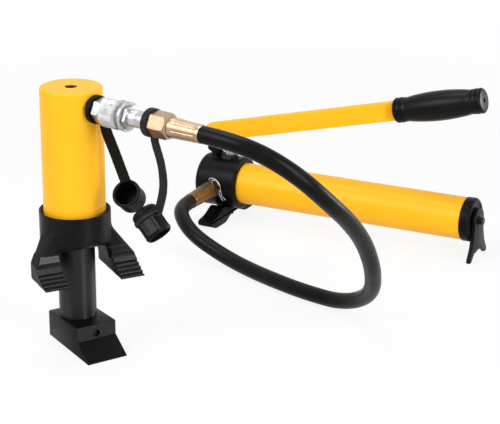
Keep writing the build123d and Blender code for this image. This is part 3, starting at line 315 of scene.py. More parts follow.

# %% [markdown]
# The quick coupler is bright zinc plate: nearly white metal with a soft, slightly cloudy gloss and a few
# dark pits where dirt sits. The brass fittings are machined bar, paler and browner by turns, and the two
# pieces at the pump's end get a darker, browner copy of the brass. The bush that guides the ram is bronze.
# One finish in three colours would be shorter, but only the plate has pits and only the brass has tool
# marks, so each metal has its own.

# %% Zinc plate, brass and bronze
def zinc_plate():
    finish = Finish("zinc_plate", Metallic=1.0)
    cloud = finish.noise(130, 4, 0.6)
    pits = finish.step(finish.noise(430, 3, 0.6), 0.60, 0.67)
    plate_shade = finish.mix(cloud, (0.30, 0.30, 0.315), (0.76, 0.76, 0.77))
    finish.set(Base_Color=finish.mix(pits * 0.75, plate_shade, (0.16, 0.15, 0.15)))
    finish.set(Roughness=0.24 + 0.16 * cloud, Normal=finish.bump(cloud + pits, 0.12, 0.0003))
    return finish.material


def machined_brass(name, bright, handled_and_sheen):
    finish = Finish(name, Metallic=1.0)
    tarnish = finish.noise(110, 4, 0.6)
    tool_marks = finish.noise(1400)
    finish.set(Base_Color=finish.mix(tarnish, bright, handled_and_sheen))
    finish.set(Roughness=0.24 + 0.16 * tarnish, Normal=finish.bump(tool_marks, 0.07, 0.0002))
    return finish.material


def bearing_bronze():
    finish = Finish("bearing_bronze", Metallic=1.0)
    tarnish = finish.noise(150, 3)
    finish.set(Base_Color=finish.mix(tarnish, (0.45, 0.27, 0.12), (0.58, 0.38, 0.19)))
    finish.set(Roughness=0.3 + 0.2 * tarnish)
    return finish.material


finishes["zinc_plate"] = zinc_plate()
finishes["brass"] = machined_brass("machined_brass", (0.53, 0.385, 0.265), (0.31, 0.20, 0.115))
finishes["bronze"] = bearing_bronze()
# A darker, browner copy of the brass, for the two pieces at the pump's end.
darker_pump_brass = machined_brass("darker_brass_copy", (0.25, 0.155, 0.060), (0.12, 0.068, 0.025))
print("made", finishes["zinc_plate"].name, finishes["brass"].name, finishes["bronze"].name, darker_pump_brass.name)

# %% [markdown]
# Black polymers look different side by side: the hose's cover is matt with the print of the cloth it was
# cured in, the dust caps are smooth moulded rubber, the grip is hard plastic with a light sheen, and the
# seals are plain rubber. One of the dust caps gets painted sheen, a light grey kept with each face. The
# tape on the pump's thread is white and soft.

# %% Rubber, plastic and tape
def hose_cover():
    finish = Finish("hose_cover", Specular_IOR_Level=0.10)
    cloth = finish.noise(1500, 2, 0.7)
    scuffs = finish.step(finish.noise(60, 5, 0.65), 0.52, 0.72)
    finish.set(Base_Color=finish.mix(scuffs, (0.0020, 0.0020, 0.0022), (0.0050, 0.0050, 0.0054)))
    finish.set(Roughness=0.30 + 0.16 * scuffs, Normal=finish.bump(cloth, 0.20, 0.0004))
    return finish.material


def moulded_rubber(name, painted_sheen=False):
    finish = Finish(name, Specular_IOR_Level=0.09)
    bloom = finish.noise(70, 3)
    colour = finish.mix(bloom, (0.0016, 0.0016, 0.0016), (0.0042, 0.0042, 0.0042))
    # Painted sheen: a light grey mixed in face by face.
    if painted_sheen:
        colour = finish.mix(finish.face_value("painted_light") * (0.4 + 1.2 * bloom), colour, (0.17, 0.165, 0.165))
    finish.set(Base_Color=colour)
    finish.set(Roughness=0.34 + 0.16 * bloom, Normal=finish.bump(finish.noise(1300, 2), 0.12, 0.0003))
    return finish.material


def grip_plastic():
    finish = Finish("grip_plastic", Specular_IOR_Level=0.11)
    sheen = finish.noise(50, 3)
    finish.set(Base_Color=finish.mix(sheen, (0.0026, 0.0024, 0.0026), (0.0055, 0.0051, 0.0055)))
    finish.set(Roughness=0.25 + 0.12 * sheen, Normal=finish.bump(finish.noise(1700, 2), 0.12, 0.0002))
    return finish.material


def thread_tape():
    finish = Finish("thread_tape", Subsurface_Weight=0.2)
    strands = finish.noise(1.0, 3, 0.6, finish.stretch((300, 1800, 1800)))
    finish.set(Base_Color=finish.mix(strands, (0.72, 0.72, 0.70), (0.88, 0.88, 0.87)))
    finish.set(Roughness=0.5 + 0.2 * strands, Normal=finish.bump(strands, 0.3, 0.0003))
    return finish.material


finishes["hose_rubber"] = hose_cover()
finishes["cap_rubber"] = moulded_rubber("cap_rubber")
finishes["seal_rubber"] = moulded_rubber("seal_rubber")
finishes["grip_plastic"] = grip_plastic()
finishes["white_tape"] = thread_tape()
sheen_painted_rubber = moulded_rubber("sheen_painted_rubber", painted_sheen=True)
print("finishes for the slots:", *finishes)

# %% [markdown]
# Many solids are good enough to be seen as they are, such as the barrel, the reservoir tube, the ram and
# the pins. The record gives every solid a slot, so one loop hands each its finish, and the finer meshes
# that follow cover the rest.

# %% Give every solid the finish of its slot
slot_of = {row["node"]: row["material_slot"] for row in frame["record"]["subparts"]}
for node, solid in frame["nodes"].items():
    for holder in solid.material_slots:
        holder.material = finishes[slot_of[node]]
print(len(finishes), "finishes on", len(slot_of), "solids")

# %% [markdown]
# New shapes come from two operators. A turned piece is a profile spun about an axis, and its corners are
# rounded while it is still a line, because a bevel on a line can't go wrong. A flat piece is an outline
# pushed out to a thickness, with its rims bevelled.

# %% Turned and flat shapes
RIM_ANGLE = radians(50)
CORNER_ANGLE = 0.2


def polyline(bm, points, closed=False):
    """Joins points into a line of edges."""
    vertices = [bm.verts.new(point) for point in points]
    pairs = list(zip(vertices, vertices[1:]))
    if closed:
        pairs.append((vertices[-1], vertices[0]))
    return [bm.edges.new(pair) for pair in pairs]


def turned(profile, rounding=0.0, steps=96, closed=False):
    """Spins (radius, height) points about Z. Corners away from the ends are rounded first."""
    bm = bmesh.new()
    polyline(bm, [(radius, 0, height) for radius, height in profile], closed)
    inside = bm.verts[:] if closed else bm.verts[:][1:-1]
    corners = [vertex for vertex in inside if vertex.calc_edge_angle(0) > CORNER_ANGLE]
    if rounding:
        bmesh.ops.bevel(
            bm, geom=corners, offset=rounding, offset_type="OFFSET", segments=3, profile=0.5,
            affect="VERTICES", material=-1,
        )
    bmesh.ops.spin(
        bm, geom=bm.verts[:] + bm.edges[:], cent=(0, 0, 0), axis=(0, 0, 1), dvec=(0, 0, 0), angle=tau,
        steps=steps, use_merge=True,
    )
    bmesh.ops.remove_doubles(bm, verts=bm.verts, dist=1e-7)
    bmesh.ops.recalc_face_normals(bm, faces=bm.faces)
    return bm


def rims(bm):
    """The edges where a shape turns sharply."""
    inner_edges = [edge for edge in bm.edges if len(edge.link_faces) == 2]
    return [edge for edge in inner_edges if edge.calc_face_angle() > RIM_ANGLE]


def plate(outline, low, high, corner=0.0, edge=0.0):
    """Pushes an outline in X and Y out from height low to high, with round corners and eased rims."""
    bm = bmesh.new()
    face = bm.faces.new([bm.verts.new((x, y, low)) for x, y in outline])
    if corner:
        bmesh.ops.bevel(
            bm, geom=face.verts[:], offset=corner, offset_type="OFFSET", segments=4, profile=0.5,
            affect="VERTICES", material=-1,
        )
    pushed = bmesh.ops.extrude_face_region(bm, geom=bm.faces[:], use_keep_orig=True)
    moved = [part for part in pushed["geom"] if isinstance(part, bmesh.types.BMVert)]
    bmesh.ops.translate(bm, verts=moved, vec=(0, 0, high - low))
    bmesh.ops.recalc_face_normals(bm, faces=bm.faces)
    if edge:
        bmesh.ops.bevel(
            bm, geom=rims(bm), offset=edge, offset_type="OFFSET", segments=3, profile=0.5,
            affect="EDGES", material=-1, clamp_overlap=True,
        )
    return bm


def arc(centre, radius, start, end, count=8):
    """Points of an arc in a plane, with its angles in degrees."""
    angles = [radians(start + (end - start) * step / count) for step in range(count + 1)]
    return [(centre[0] + radius * cos(angle), centre[1] + radius * sin(angle)) for angle in angles]


print("turning and plate work ready")

# %% [markdown]
# Shapes become pieces by being gathered, cut or melted together. A casting or a moulding has no seams, and
# bevels on many meeting edges tangle, so such a piece is made of plain shapes that overlap. A voxel remesh
# gives them one skin, and smoothing softens its corners. Each finished mesh holds its own place, so the
# object itself stays at the origin.

# %% From shapes to pieces
def joined(*shapes):
    """Gathers several bmeshes into the first."""
    whole = shapes[0]
    for shape in shapes[1:]:
        holder = bpy.data.meshes.new("holder")
        shape.to_mesh(holder)
        whole.from_mesh(holder)
        bpy.data.meshes.remove(holder)
        shape.free()
    return whole


def as_object(name, bm, place=Matrix.Identity(4)):
    """Turns a bmesh into an object at the origin, with its place in its mesh."""
    bm.transform(place)
    mesh = bpy.data.meshes.new(name)
    bm.to_mesh(mesh)
    bm.free()
    piece = bpy.data.objects.new(name, mesh)
    bpy.context.scene.collection.objects.link(piece)
    return piece


def as_bmesh(piece):
    """Takes an object's mesh back for more work and removes the object."""
    bm = bmesh.new()
    bm.from_mesh(piece.data)
    bpy.data.objects.remove(piece)
    return bm


def bake_modifiers(piece):
    """Applies an object's modifiers to its mesh."""
    graph = bpy.context.evaluated_depsgraph_get()
    mesh = bpy.data.meshes.new_from_object(piece.evaluated_get(graph))
    old = piece.data
    piece.modifiers.clear()
    piece.data = mesh
    bpy.data.meshes.remove(old)


def carve(piece, tool, operation="DIFFERENCE"):
    """Cuts a piece with another, which is then removed."""
    boolean = piece.modifiers.new("carving", "BOOLEAN")
    boolean.operation = operation
    boolean.object = tool
    boolean.solver = "EXACT"
    bake_modifiers(piece)
    bpy.data.objects.remove(tool)


def cast_together(piece, voxel, rounds):
    """Melts touching shapes into one skin with soft corners, as a casting has."""
    remesh = piece.modifiers.new("skin", "REMESH")
    remesh.mode = "VOXEL"
    remesh.voxel_size = voxel
    soften = piece.modifiers.new("soften", "SMOOTH")
    soften.factor = 0.5
    soften.iterations = rounds
    bake_modifiers(piece)


print("joining, cutting and casting ready")

# %% [markdown]
# A piece is dressed in one call: it gets the finish of a slot, smooth shading that stops at sharp edges,
# the body that it moves with, and the solid that it stands in for. Painted highlights come after that, as a
# number on each face that depends on where the face is and which way it looks.

# %% Dressing a piece
SMOOTH_ANGLE = radians(32)
SOFT_ANGLE = radians(60)


def dress(piece, body, slot, *nodes, angle=SMOOTH_ANGLE):
    """Gives a piece its finish and shading, and lets it ride on its body in place of a solid."""
    piece.data.materials.clear()
    piece.data.materials.append(finishes[slot])
    piece.data.shade_smooth()
    piece.data.set_sharp_from_angle(angle=angle)
    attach(piece, body)
    if nodes:
        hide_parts(*nodes)
    print(piece.name, len(piece.data.polygons), "faces")
    return piece


def paint_light_on(piece, light_finish, place, light_at):
    """Gives a piece a finish with painted highlights face by face: a function of spot and facing, in a local
    frame.
    """
    piece.data.materials[0] = light_finish
    to_frame = place.inverted()
    turn = to_frame.to_3x3()
    painted_light = piece.data.attributes.new("painted_light", "FLOAT", "FACE")
    for face in piece.data.polygons:
        painted_light.data[face.index].value = light_at(to_frame @ face.center, turn @ face.normal)
    print(piece.name, "with_painted_light")


print("dressing ready")

# %% [markdown]
# The hose is about 0.90 m of stiff rubber between two brass ferrules, all of it in the picture. It leaves
# the coupler level, falls in a wide bow to the floor, runs along it and rises to the pump's port. A mesh
# tube would need every ring placed, and a NURBS line with a round bevel needs only the route's points, so
# that is used.

# %% Hose
HOSE_D = 21 * MM
COUPLER_LEAD = 38 * MM
PUMP_LEAD = 28 * MM
tool_ferrule_end = local_box("hose_ferrule_tool", COUPLER)[1].x
pump_ferrule_end = local_box("hose_ferrule_pump", PORT_LINE)[1].z
coupler_exit = COUPLER @ Vector((tool_ferrule_end, 0, 0))
coupler_lead = COUPLER @ Vector((tool_ferrule_end + COUPLER_LEAD, 0, 0))
pump_exit = PORT_LINE @ Vector((0, 0, pump_ferrule_end))
pump_lead = PORT_LINE @ Vector((0, 0, pump_ferrule_end + PUMP_LEAD))
HOSE_POINTS = [
    (0.156, -0.294, 0.296),
    (0.193, -0.277, 0.269),
    (0.213, -0.245, 0.233),
    (0.218, -0.200, 0.198),
    (0.217, -0.150, 0.155),
    (0.208, -0.098, 0.098),
    (0.183, -0.046, 0.044),
    (0.131, -0.014, 0.013),
    (0.068, 0.003, 0.0107),
    (0.012, 0.023, 0.0107),
    (-0.042, 0.045, 0.0115),
    (-0.089, 0.060, 0.019),
    (-0.132, 0.066, 0.036),
    (-0.163, 0.087, 0.048),
]
route = [coupler_exit, coupler_lead, *HOSE_POINTS, pump_lead, pump_exit]
hose_curve = bpy.data.curves.new("rubber_hose", "CURVE")
hose_curve.dimensions = "3D"
hose_curve.bevel_depth = HOSE_D / 2
hose_curve.bevel_resolution = 10
hose_curve.resolution_u = 16
line = hose_curve.splines.new("NURBS")
line.points.add(len(route) - 1)
for point, place in zip(line.points, route):
    point.co = (*place, 1)
line.order_u = 3
line.use_endpoint_u = True
hose_curve.materials.append(finishes["hose_rubber"])
hose = bpy.data.objects.new("rubber_hose", hose_curve)
bpy.context.scene.collection.objects.link(hose)
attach(hose, "body")
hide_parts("hose")
print("hose of", len(route), "points")

# %% [markdown]
# The claw collar is one casting: a ring round the barrel's foot and two claws that reach forward and down
# beside the ram. A claw seen from the side is a bite that slopes down to the nose, with grooves across it
# that leave ridges, and a ledge above. The grooves could be cut one by one, but they run straight across,
# so they are part of the outline.

# %% A claw's outline
COLLAR_TURN = radians(-7)
COLLAR_HEIGHT = 42.6 * MM
CLAW_WIDTH = 31.2 * MM
CLAW_BACK_IN = -11.6 * MM
CLAW_BACK_OUT = 13.3 * MM
NOSE_HEIGHT = 2 * MM
HEEL_RISE = 3 * MM
ROOT_FRONT = 24 * MM
ROOT_RISE = 27 * MM
LEDGE_STEP = Vector((-1, 6.4)) * MM
LEDGE_SLOPE = Vector((-4.8, 5)) * MM
BITE_RUN = 29 * MM
BITE_RISE = 17 * MM
BITE_GROOVES = 4
BITE_GROOVE_TO_NOSE = 3.6 * MM
BITE_GROOVE_PITCH = 6.6 * MM
BITE_GROOVE_WIDTH = 3.2 * MM
BITE_GROOVE_DEPTH = 2.6 * MM
COLLAR = TOOL @ Matrix.Rotation(COLLAR_TURN, 4, "Z")
collar_low, collar_high = local_box("jaw_collar", COLLAR)
collar_top = collar_high.z
collar_foot = collar_top - COLLAR_HEIGHT
claw_reach, claw_out = collar_high.x, collar_high.y
claw_in = claw_out - CLAW_WIDTH
claw_tip = collar_low.z
claw_nose = claw_tip + NOSE_HEIGHT
root_top = collar_foot + ROOT_RISE
bite_top = Vector((claw_reach - BITE_RUN, claw_nose + BITE_RISE))


def claw_outline():
    """The claw from the side: grooved bite, nose, heel, root and ledge, as (forward, up) points."""
    length = hypot(BITE_RUN, BITE_RISE)
    along = Vector((BITE_RUN, -BITE_RISE)) / length
    sunk = Vector((-BITE_RISE, -BITE_RUN)) / length * BITE_GROOVE_DEPTH
    half = along * BITE_GROOVE_WIDTH / 2
    first = length - BITE_GROOVE_TO_NOSE - (BITE_GROOVES - 1) * BITE_GROOVE_PITCH
    points = [bite_top]
    for groove in range(BITE_GROOVES):
        centre = bite_top + along * (first + groove * BITE_GROOVE_PITCH)
        points += [centre - half, centre - half + sunk, centre + half + sunk, centre + half]
    ledge = bite_top + LEDGE_STEP
    points += [
        (claw_reach, claw_nose),
        (claw_reach, claw_tip),
        (CLAW_BACK_IN, claw_tip + HEEL_RISE),
        (CLAW_BACK_IN, root_top),
        (ROOT_FRONT, root_top),
        ledge + LEDGE_SLOPE,
        ledge,
    ]
    return points


print("claw outline of", len(claw_outline()), "points")

# %% [markdown]
# The outline is pushed to the claw's width, and two slices give the claw its flare: one down its outer
# shoulder and one across its back. Moving single corners would do as well, but a slice says plainly which
# plane the face lies in. A web joins the claw to the ring, and the second claw is a mirror image.

# %% Two claws
def sliced(bm, point, normal):
    """Cuts away what lies beyond a plane and closes the cut."""
    everything = bm.verts[:] + bm.edges[:] + bm.faces[:]
    bmesh.ops.bisect_plane(bm, geom=everything, plane_co=point, plane_no=normal, clear_outer=True)
    open_edges = [edge for edge in bm.edges if edge.is_boundary]
    bmesh.ops.holes_fill(bm, edges=open_edges, sides=0)
    bmesh.ops.recalc_face_normals(bm, faces=bm.faces)


def mirrored(bm):
    """Adds a copy of a shape on the other side of the plane of X and Z."""
    copy = bmesh.ops.duplicate(bm, geom=bm.verts[:] + bm.edges[:] + bm.faces[:])["geom"]
    copied = [part for part in copy if isinstance(part, bmesh.types.BMVert)]
    bmesh.ops.scale(bm, vec=(1, -1, 1), verts=copied)
    bmesh.ops.recalc_face_normals(bm, faces=bm.faces)
    return bm


FLARE_DROP = 12 * MM
FLARE_FACING = Vector((0.15, 1.33, 1))
WEB_THICK = 5 * MM
WEB_DROP = 20 * MM
WEB_FRONT = 27 * MM
OVERLAP = 1 * MM
claw = plate(claw_outline(), -claw_out, -claw_in)
claw.transform(turn_z_to_near)
sliced(claw, (CLAW_BACK_OUT, claw_out, collar_foot - FLARE_DROP), FLARE_FACING)
back_facing = Vector((claw_in - claw_out, CLAW_BACK_OUT - CLAW_BACK_IN, 0))
sliced(claw, (CLAW_BACK_IN, claw_in, 0), back_facing)
web_outline = [
    (claw_in + OVERLAP, collar_foot + OVERLAP),
    (claw_in - WEB_THICK, collar_foot + OVERLAP),
    (claw_in - WEB_THICK, collar_foot),
    (claw_in, collar_foot - WEB_DROP),
    (claw_in + OVERLAP, collar_foot - WEB_DROP),
]
web = plate(web_outline, CLAW_BACK_IN, WEB_FRONT)
web.transform(stand_across)
claws = mirrored(joined(claw, web))
print("two claws of", len(claws.faces), "faces")

# %% [markdown]
# The ring is turned, with a floor that the ram passes through and a flared mouth for the barrel, and an
# arch is cut out of its front between the claws. Ring and claws are then melted into one skin. A casting is
# roundest where one form grows out of another, so only the claws' roots are smoothed further: more rounds
# over the whole would melt the ridges.

# %% Collar ring and casting
COLLAR_R = 43.8 * MM
BARREL_R = 38.0 * MM
RAM_R = 23.0 * MM
RAM_GAP = 0.8 * MM
BARREL_GAP = 0.5 * MM
COLLAR_FLOOR = 12 * MM
MOUTH_FLARE = 4.4 * MM
MOUTH_DEPTH = 4.2 * MM
ARCH_RUN = 14 * MM
ARCH_RISE = 8 * MM
CASTING_VOXEL = 0.9 * MM

ring_profile = [
    (RAM_R + RAM_GAP, collar_foot),
    (COLLAR_R, collar_foot),
    (COLLAR_R, collar_top),
    (BARREL_R + MOUTH_FLARE, collar_top),
    (BARREL_R + BARREL_GAP, collar_top - MOUTH_DEPTH),
    (BARREL_R + BARREL_GAP, collar_foot + COLLAR_FLOOR),
    (RAM_R + RAM_GAP, collar_foot + COLLAR_FLOOR),
]
cup_ring = as_object("cup_ring", turned(ring_profile, closed=True))
arch_outline = [
    (COLLAR_R - ARCH_RUN, collar_foot - OVERLAP),
    (COLLAR_R + OVERLAP, collar_foot - OVERLAP),
    (COLLAR_R + OVERLAP, collar_foot + ARCH_RISE),
]
arch = plate(arch_outline, -claw_in, claw_in)
arch.transform(turn_z_to_near)
carve(cup_ring, as_object("arch", arch))
collar = as_object("claw_collar", joined(as_bmesh(cup_ring), claws), COLLAR)
cast_together(collar, CASTING_VOXEL, rounds=5)

roots_low = collar_foot - 3.5 * MM
roots_high = collar_foot + 34 * MM
roots_inside = RAM_R + 4 * MM


def soften_roots(piece, rounds):
    """Rounds the casting where the claws grow out of the ring."""
    bm = as_bmesh(piece)
    to_collar = COLLAR.inverted()
    roots = []
    for vertex in bm.verts:
        spot = to_collar @ vertex.co
        if roots_low < spot.z < roots_high and spot.xy.length > roots_inside:
            roots.append(vertex)
    for _ in range(rounds):
        bmesh.ops.smooth_vert(
            bm, verts=roots, factor=0.5, use_axis_x=True, use_axis_y=True, use_axis_z=True
        )
    return as_object("claw_collar", bm)


collar = soften_roots(collar, rounds=60)
dress(collar, "body", "black_paint", "jaw_collar", angle=radians(70))

# %% [markdown]
# The ledge of one claw gets a painted highlight, a band of light grey, and the other ledge and the crests
# between the grooves of both bites get fainter ones. Each face's height and direction decide where it goes.

# %% Painted highlights on the claws
LEDGE_FACING = Vector((0.72, 0, 0.69))
LEDGE_NEARNESS = 0.86
LEDGE_BAND = (-11 * MM, -3 * MM)
HIGHLIGHT_SIDE = (-62 * MM, 0)
LEDGE_HIGHLIGHT = 0.3
OTHER_LEDGE_HIGHLIGHT = 0.05
BITE_FACING = Vector((BITE_RISE, 0, BITE_RUN)).normalized()
BITE_NEARNESS = 0.93
BITE_BAND = -14 * MM
CREST_SKIN = 0.9 * MM
CREST_HIGHLIGHT = 0.13


def claw_painted_light(spot, facing):
    """A painted highlight on one claw's ledge, fainter on the other ledge and on the crests of both bites."""
    height = spot.z - collar_foot
    if LEDGE_BAND[0] < height < LEDGE_BAND[1] and facing.dot(LEDGE_FACING) > LEDGE_NEARNESS:
        return LEDGE_HIGHLIGHT if HIGHLIGHT_SIDE[0] < spot.y < HIGHLIGHT_SIDE[1] else OTHER_LEDGE_HIGHLIGHT
    sunk = BITE_FACING.dot(Vector((bite_top.x, 0, bite_top.y)) - spot)
    on_crest = sunk <= CREST_SKIN and facing.dot(BITE_FACING) >= BITE_NEARNESS
    return CREST_HIGHLIGHT if on_crest and height <= BITE_BAND else 0.0


paint_light_on(collar, collar_paint, COLLAR, claw_painted_light)

# %% [markdown]
# The wedge foot is a forged block with a sloping toe that is driven under a door. It is an outline pushed
# to its width with eased edges, because the light along those edges is most of what shows. A set screw's
# hole is cut in its upright face, and the upper part of that face gets a faint painted highlight.

# %% Wedge foot
HEEL_LIFT = 5.8 * MM
TOE_EDGE = 1.4 * MM
FACE_REACH = 45.9 * MM
SLOPE_TOP = 20.6 * MM
WEDGE_EASING = 1.1 * MM
HOLE_CHAMFER = 2 * MM
CHAMFER_DEPTH = 0.7 * MM
HIGHLIGHT_ABOVE = 20 * MM
FACE_NEARNESS = 0.9
FACE_HIGHLIGHT = 0.075
wedge_low, wedge_high = local_box("wedge_foot", TOOL)
screw_low, screw_high = local_box("wedge_set_screw", TOOL)
wedge_outline = [
    (wedge_low.x, HEEL_LIFT),
    (wedge_high.x, 0.0),
    (wedge_high.x, TOE_EDGE),
    (FACE_REACH, SLOPE_TOP),
    (FACE_REACH, wedge_high.z),
    (wedge_low.x, wedge_high.z),
]
block = plate(wedge_outline, -wedge_high.y, wedge_high.y, edge=WEDGE_EASING)
block.transform(turn_z_to_near)
wedge = as_object("wedge_block", block, TOOL)
screw_place = TOOL @ Matrix.Translation((0, 0, (screw_low.z + screw_high.z) / 2)) @ turn_z_to_x
screw_r = (screw_high.z - screw_low.z) / 2
chamfer_start = FACE_REACH - CHAMFER_DEPTH
chamfer_end = chamfer_start + HOLE_CHAMFER
hole_profile = [
    (0, screw_high.x),
    (screw_r, screw_high.x),
    (screw_r, chamfer_start),
    (screw_r + HOLE_CHAMFER, chamfer_end),
    (0, chamfer_end),
]
carve(wedge, as_object("screw_hole", turned(hole_profile, steps=48), screw_place))


def wedge_painted_light(spot, facing):
    """A faint painted highlight on the upright front face above a height; the slope under it has none."""
    return FACE_HIGHLIGHT if facing.x > FACE_NEARNESS and spot.z > HIGHLIGHT_ABOVE else 0.0


dress(wedge, "ram_and_wedge", "black_paint", "wedge_foot")
paint_light_on(wedge, wedge_highlight_paint, TOOL, wedge_painted_light)

# %% [markdown]
# The threaded hole in the barrel's roof gets a thin lining in the dark black oxide finish, which paints
# the shade inside the hole. A true helix would need hundreds of steps for something this small. A thin
# lining with a ring for each turn of the thread looks the same, and the barrel itself stays as it is.

# %% Thread in the barrel's roof, dark as painted shade
THREAD_R = 7.9 * MM
THREAD_DEPTH = 8.8 * MM
THREAD_TURNS = 4
THREAD_PITCH = 2 * MM
THREAD_TOOTH = 1.0 * MM
LINING_WALL = 0.2 * MM
LINING_FLOOR = 0.5 * MM
PAINT_LIP = 1.1 * MM
thread_top = local_box("cylinder_barrel", TOOL)[1].z - PAINT_LIP
thread_foot = thread_top - THREAD_DEPTH
shade_lining = [(0, thread_foot), (THREAD_R, thread_foot), (THREAD_R, thread_top)]
for tooth in range(THREAD_TURNS):
    crest = thread_top - (tooth + 0.5) * THREAD_PITCH
    shade_lining += [(THREAD_R - THREAD_TOOTH, crest), (THREAD_R - LINING_WALL, crest - THREAD_PITCH / 2)]
shade_lining += [(THREAD_R - LINING_WALL, thread_foot + LINING_FLOOR), (0, thread_foot + LINING_FLOOR)]
# The dark lining paints the shade inside the hole.
dress(as_object("thread_shade_lining", turned(shade_lining, steps=64), TOOL), "body", "black_oxide")

# %% [markdown]
# Spanner flats, knurls and crimps all start from the two basic shapes. A hexagon is a plate whose ends are
# cut to cones by a turned shape, as a lathe does it. The plate starts out a little too long, because a cut
# along two faces in one plane fails now and then. A pattern in a round wall is pressed in: the wall is
# turned with many points, and a formula says how far each one sinks. A bump in the finish would look the
# same from the front but not on the outline.

# %% Hexagons and pressed walls
HEX_EASING = 0.3 * MM
END_ROOM = 1 * MM
WALL_SKIN = 0.1 * MM
CONE_ROOM = 1.01
LOW_END_SHARE = 0.485
HIGH_END_SHARE = 0.45


def hex_nut(name, flats, low, high, low_cone, high_cone, turn, place=Matrix.Identity(4)):
    """A hexagon on Z whose ends are turned down to cones, as on a real nut."""
    corner = flats / sqrt(3)
    outline = [(corner * cos(tau * k / 6), corner * sin(tau * k / 6)) for k in range(6)]
    nut = as_object(name, plate(outline, low - END_ROOM, high + END_ROOM, edge=HEX_EASING))
    past_corner = corner * CONE_ROOM
    cone = [(0, low), (flats * LOW_END_SHARE, low), (past_corner, low + low_cone)]
    cone += [(past_corner, high - high_cone), (flats * HIGH_END_SHARE, high), (0, high)]
    carve(nut, as_object("turned_ends", turned(cone)), "INTERSECT")
    nut.data.transform(place @ Matrix.Rotation(turn, 4, "Z"))
    return nut


def wall(radius, low, high, count):
    """Points up a straight wall, close enough together to be pressed in or out later."""
    return [(radius, low + (high - low) * step / count) for step in range(count + 1)]


def pressed(bm, low, high, outside, sink):
    """Presses a turned wall inwards: sink(angle, share of the height) says how far at each point."""
    for vertex in bm.verts:
        x, y, height = vertex.co
        radius = hypot(x, y)
        if low <= height <= high and radius > outside:
            shrink = 1 - sink(atan2(y, x), (height - low) / (high - low)) / radius
            vertex.co.x *= shrink
            vertex.co.y *= shrink
    bmesh.ops.recalc_face_normals(bm, faces=bm.faces)
    return bm


print("hexagons and pressed walls ready")

# %% [markdown]
# The quick coupler is three turned pieces in a row: a nipple that screws into the barrel, a knurled sleeve,
# and a socket on the hose's side. The nipple has a hexagon for the spanner. It could be one spun shape with
# the flats cut after, but a hexagon set between two turned lengths needs no cut.

# %% Coupler nipple
HEX_TURN = radians(-24)
NIPPLE_HEX = 27 * MM
NIPPLE_HEX_LENGTH = 11.7 * MM
NIPPLE_CONE = 1.6 * MM
NECK_R = 10.5 * MM
STEM_R = 8 * MM
SPIGOT_R = 13 * MM
COUPLER_GAP = 0.3 * MM
sleeve_low, sleeve_high = local_box("coupler_sleeve", COUPLER_LINE)
nipple_low, nipple_high = local_box("coupler_nipple", COUPLER_LINE)
sleeve_start, sleeve_end, sleeve_r = sleeve_low.z, sleeve_high.z, sleeve_high.y
hex_end = sleeve_start - COUPLER_GAP
hex_start = hex_end - NIPPLE_HEX_LENGTH
nipple_hex = hex_nut("nipple_hex", NIPPLE_HEX, hex_start, hex_end, NIPPLE_CONE, NIPPLE_CONE, HEX_TURN)
stem_profile = [(0, nipple_low.z), (STEM_R, nipple_low.z), (STEM_R, BARREL_R), (NECK_R, BARREL_R)]
stem = turned([*stem_profile, (NECK_R, hex_start), (0, hex_start)])
spigot = turned([(0, hex_end), (SPIGOT_R, hex_end), (SPIGOT_R, nipple_high.z), (0, nipple_high.z)])
nipple = as_object("nipple", joined(as_bmesh(nipple_hex), stem, spigot), COUPLER_LINE)
dress(nipple, "body", "zinc_plate", "coupler_nipple")

# %% [markdown]
# The sleeve is screwed up with bare fingers, so it is knurled, and it flares at its end. A knurl is two
# sets of slanting grooves that cross, and the product of two cosines has just that pattern.

# %% Knurled sleeve
SOCKET_R = 10.5 * MM
SLEEVE_BORE = SOCKET_R + 0.4 * MM
SLEEVE_MOUTH_R = 13.4 * MM
SLEEVE_MOUTH = 2 * MM
KNURLS = 72
KNURL_DEPTH = 0.5 * MM
KNURL_SLANT = 11.8
KNURL_FADE = 9
KNURL_MARGIN = 1.8 * MM
SLEEVE_GRIP = 26 * MM
SLEEVE_GROOVE = 3 * MM
SLEEVE_GROOVE_R = 13.5 * MM
SLEEVE_FLARE = 4.5 * MM
SLEEVE_SHOULDER = 1.6 * MM
SLEEVE_EASING = 0.8 * MM
groove_start = sleeve_start + SLEEVE_GRIP
groove_end = groove_start + SLEEVE_GROOVE
knurl_low, knurl_high = sleeve_start + KNURL_MARGIN, groove_start - KNURL_MARGIN


def knurl(angle, share):
    """Two sets of slanting grooves, fading out at both ends of the grip."""
    slant = tau * KNURL_SLANT * share
    crossing = cos(KNURLS * angle + slant) * cos(KNURLS * angle - slant)
    fade = min(1, KNURL_FADE * share, KNURL_FADE * (1 - share))
    return KNURL_DEPTH * (0.5 - 0.5 * crossing) * fade


sleeve_profile = [
    (SLEEVE_BORE, sleeve_start + SLEEVE_MOUTH),
    (SLEEVE_MOUTH_R, sleeve_start),
    (sleeve_r - KNURL_MARGIN, sleeve_start),
    *wall(sleeve_r, knurl_low, knurl_high, count=108),
    (sleeve_r - SLEEVE_SHOULDER, groove_start),
    (SLEEVE_GROOVE_R, groove_start),
    (SLEEVE_GROOVE_R, groove_end),
    (sleeve_r, groove_end + SLEEVE_FLARE),
    (sleeve_r, sleeve_end - SLEEVE_EASING),
    (sleeve_r - SLEEVE_EASING, sleeve_end),
    (SLEEVE_BORE, sleeve_end),
]
sleeve = turned(sleeve_profile, steps=432)
pressed(sleeve, knurl_low, knurl_high, sleeve_r - WALL_SKIN, knurl)
dress(as_object("knurled_sleeve", sleeve, COUPLER_LINE), "screw_sleeve", "zinc_plate", "coupler_sleeve")

# %% [markdown]
# The socket closes the coupler on the hose's side. It is turned, with a fine line round it and a smaller
# tail that goes into the nut, and it has a hexagon of its own beside the sleeve, made as on the nipple.

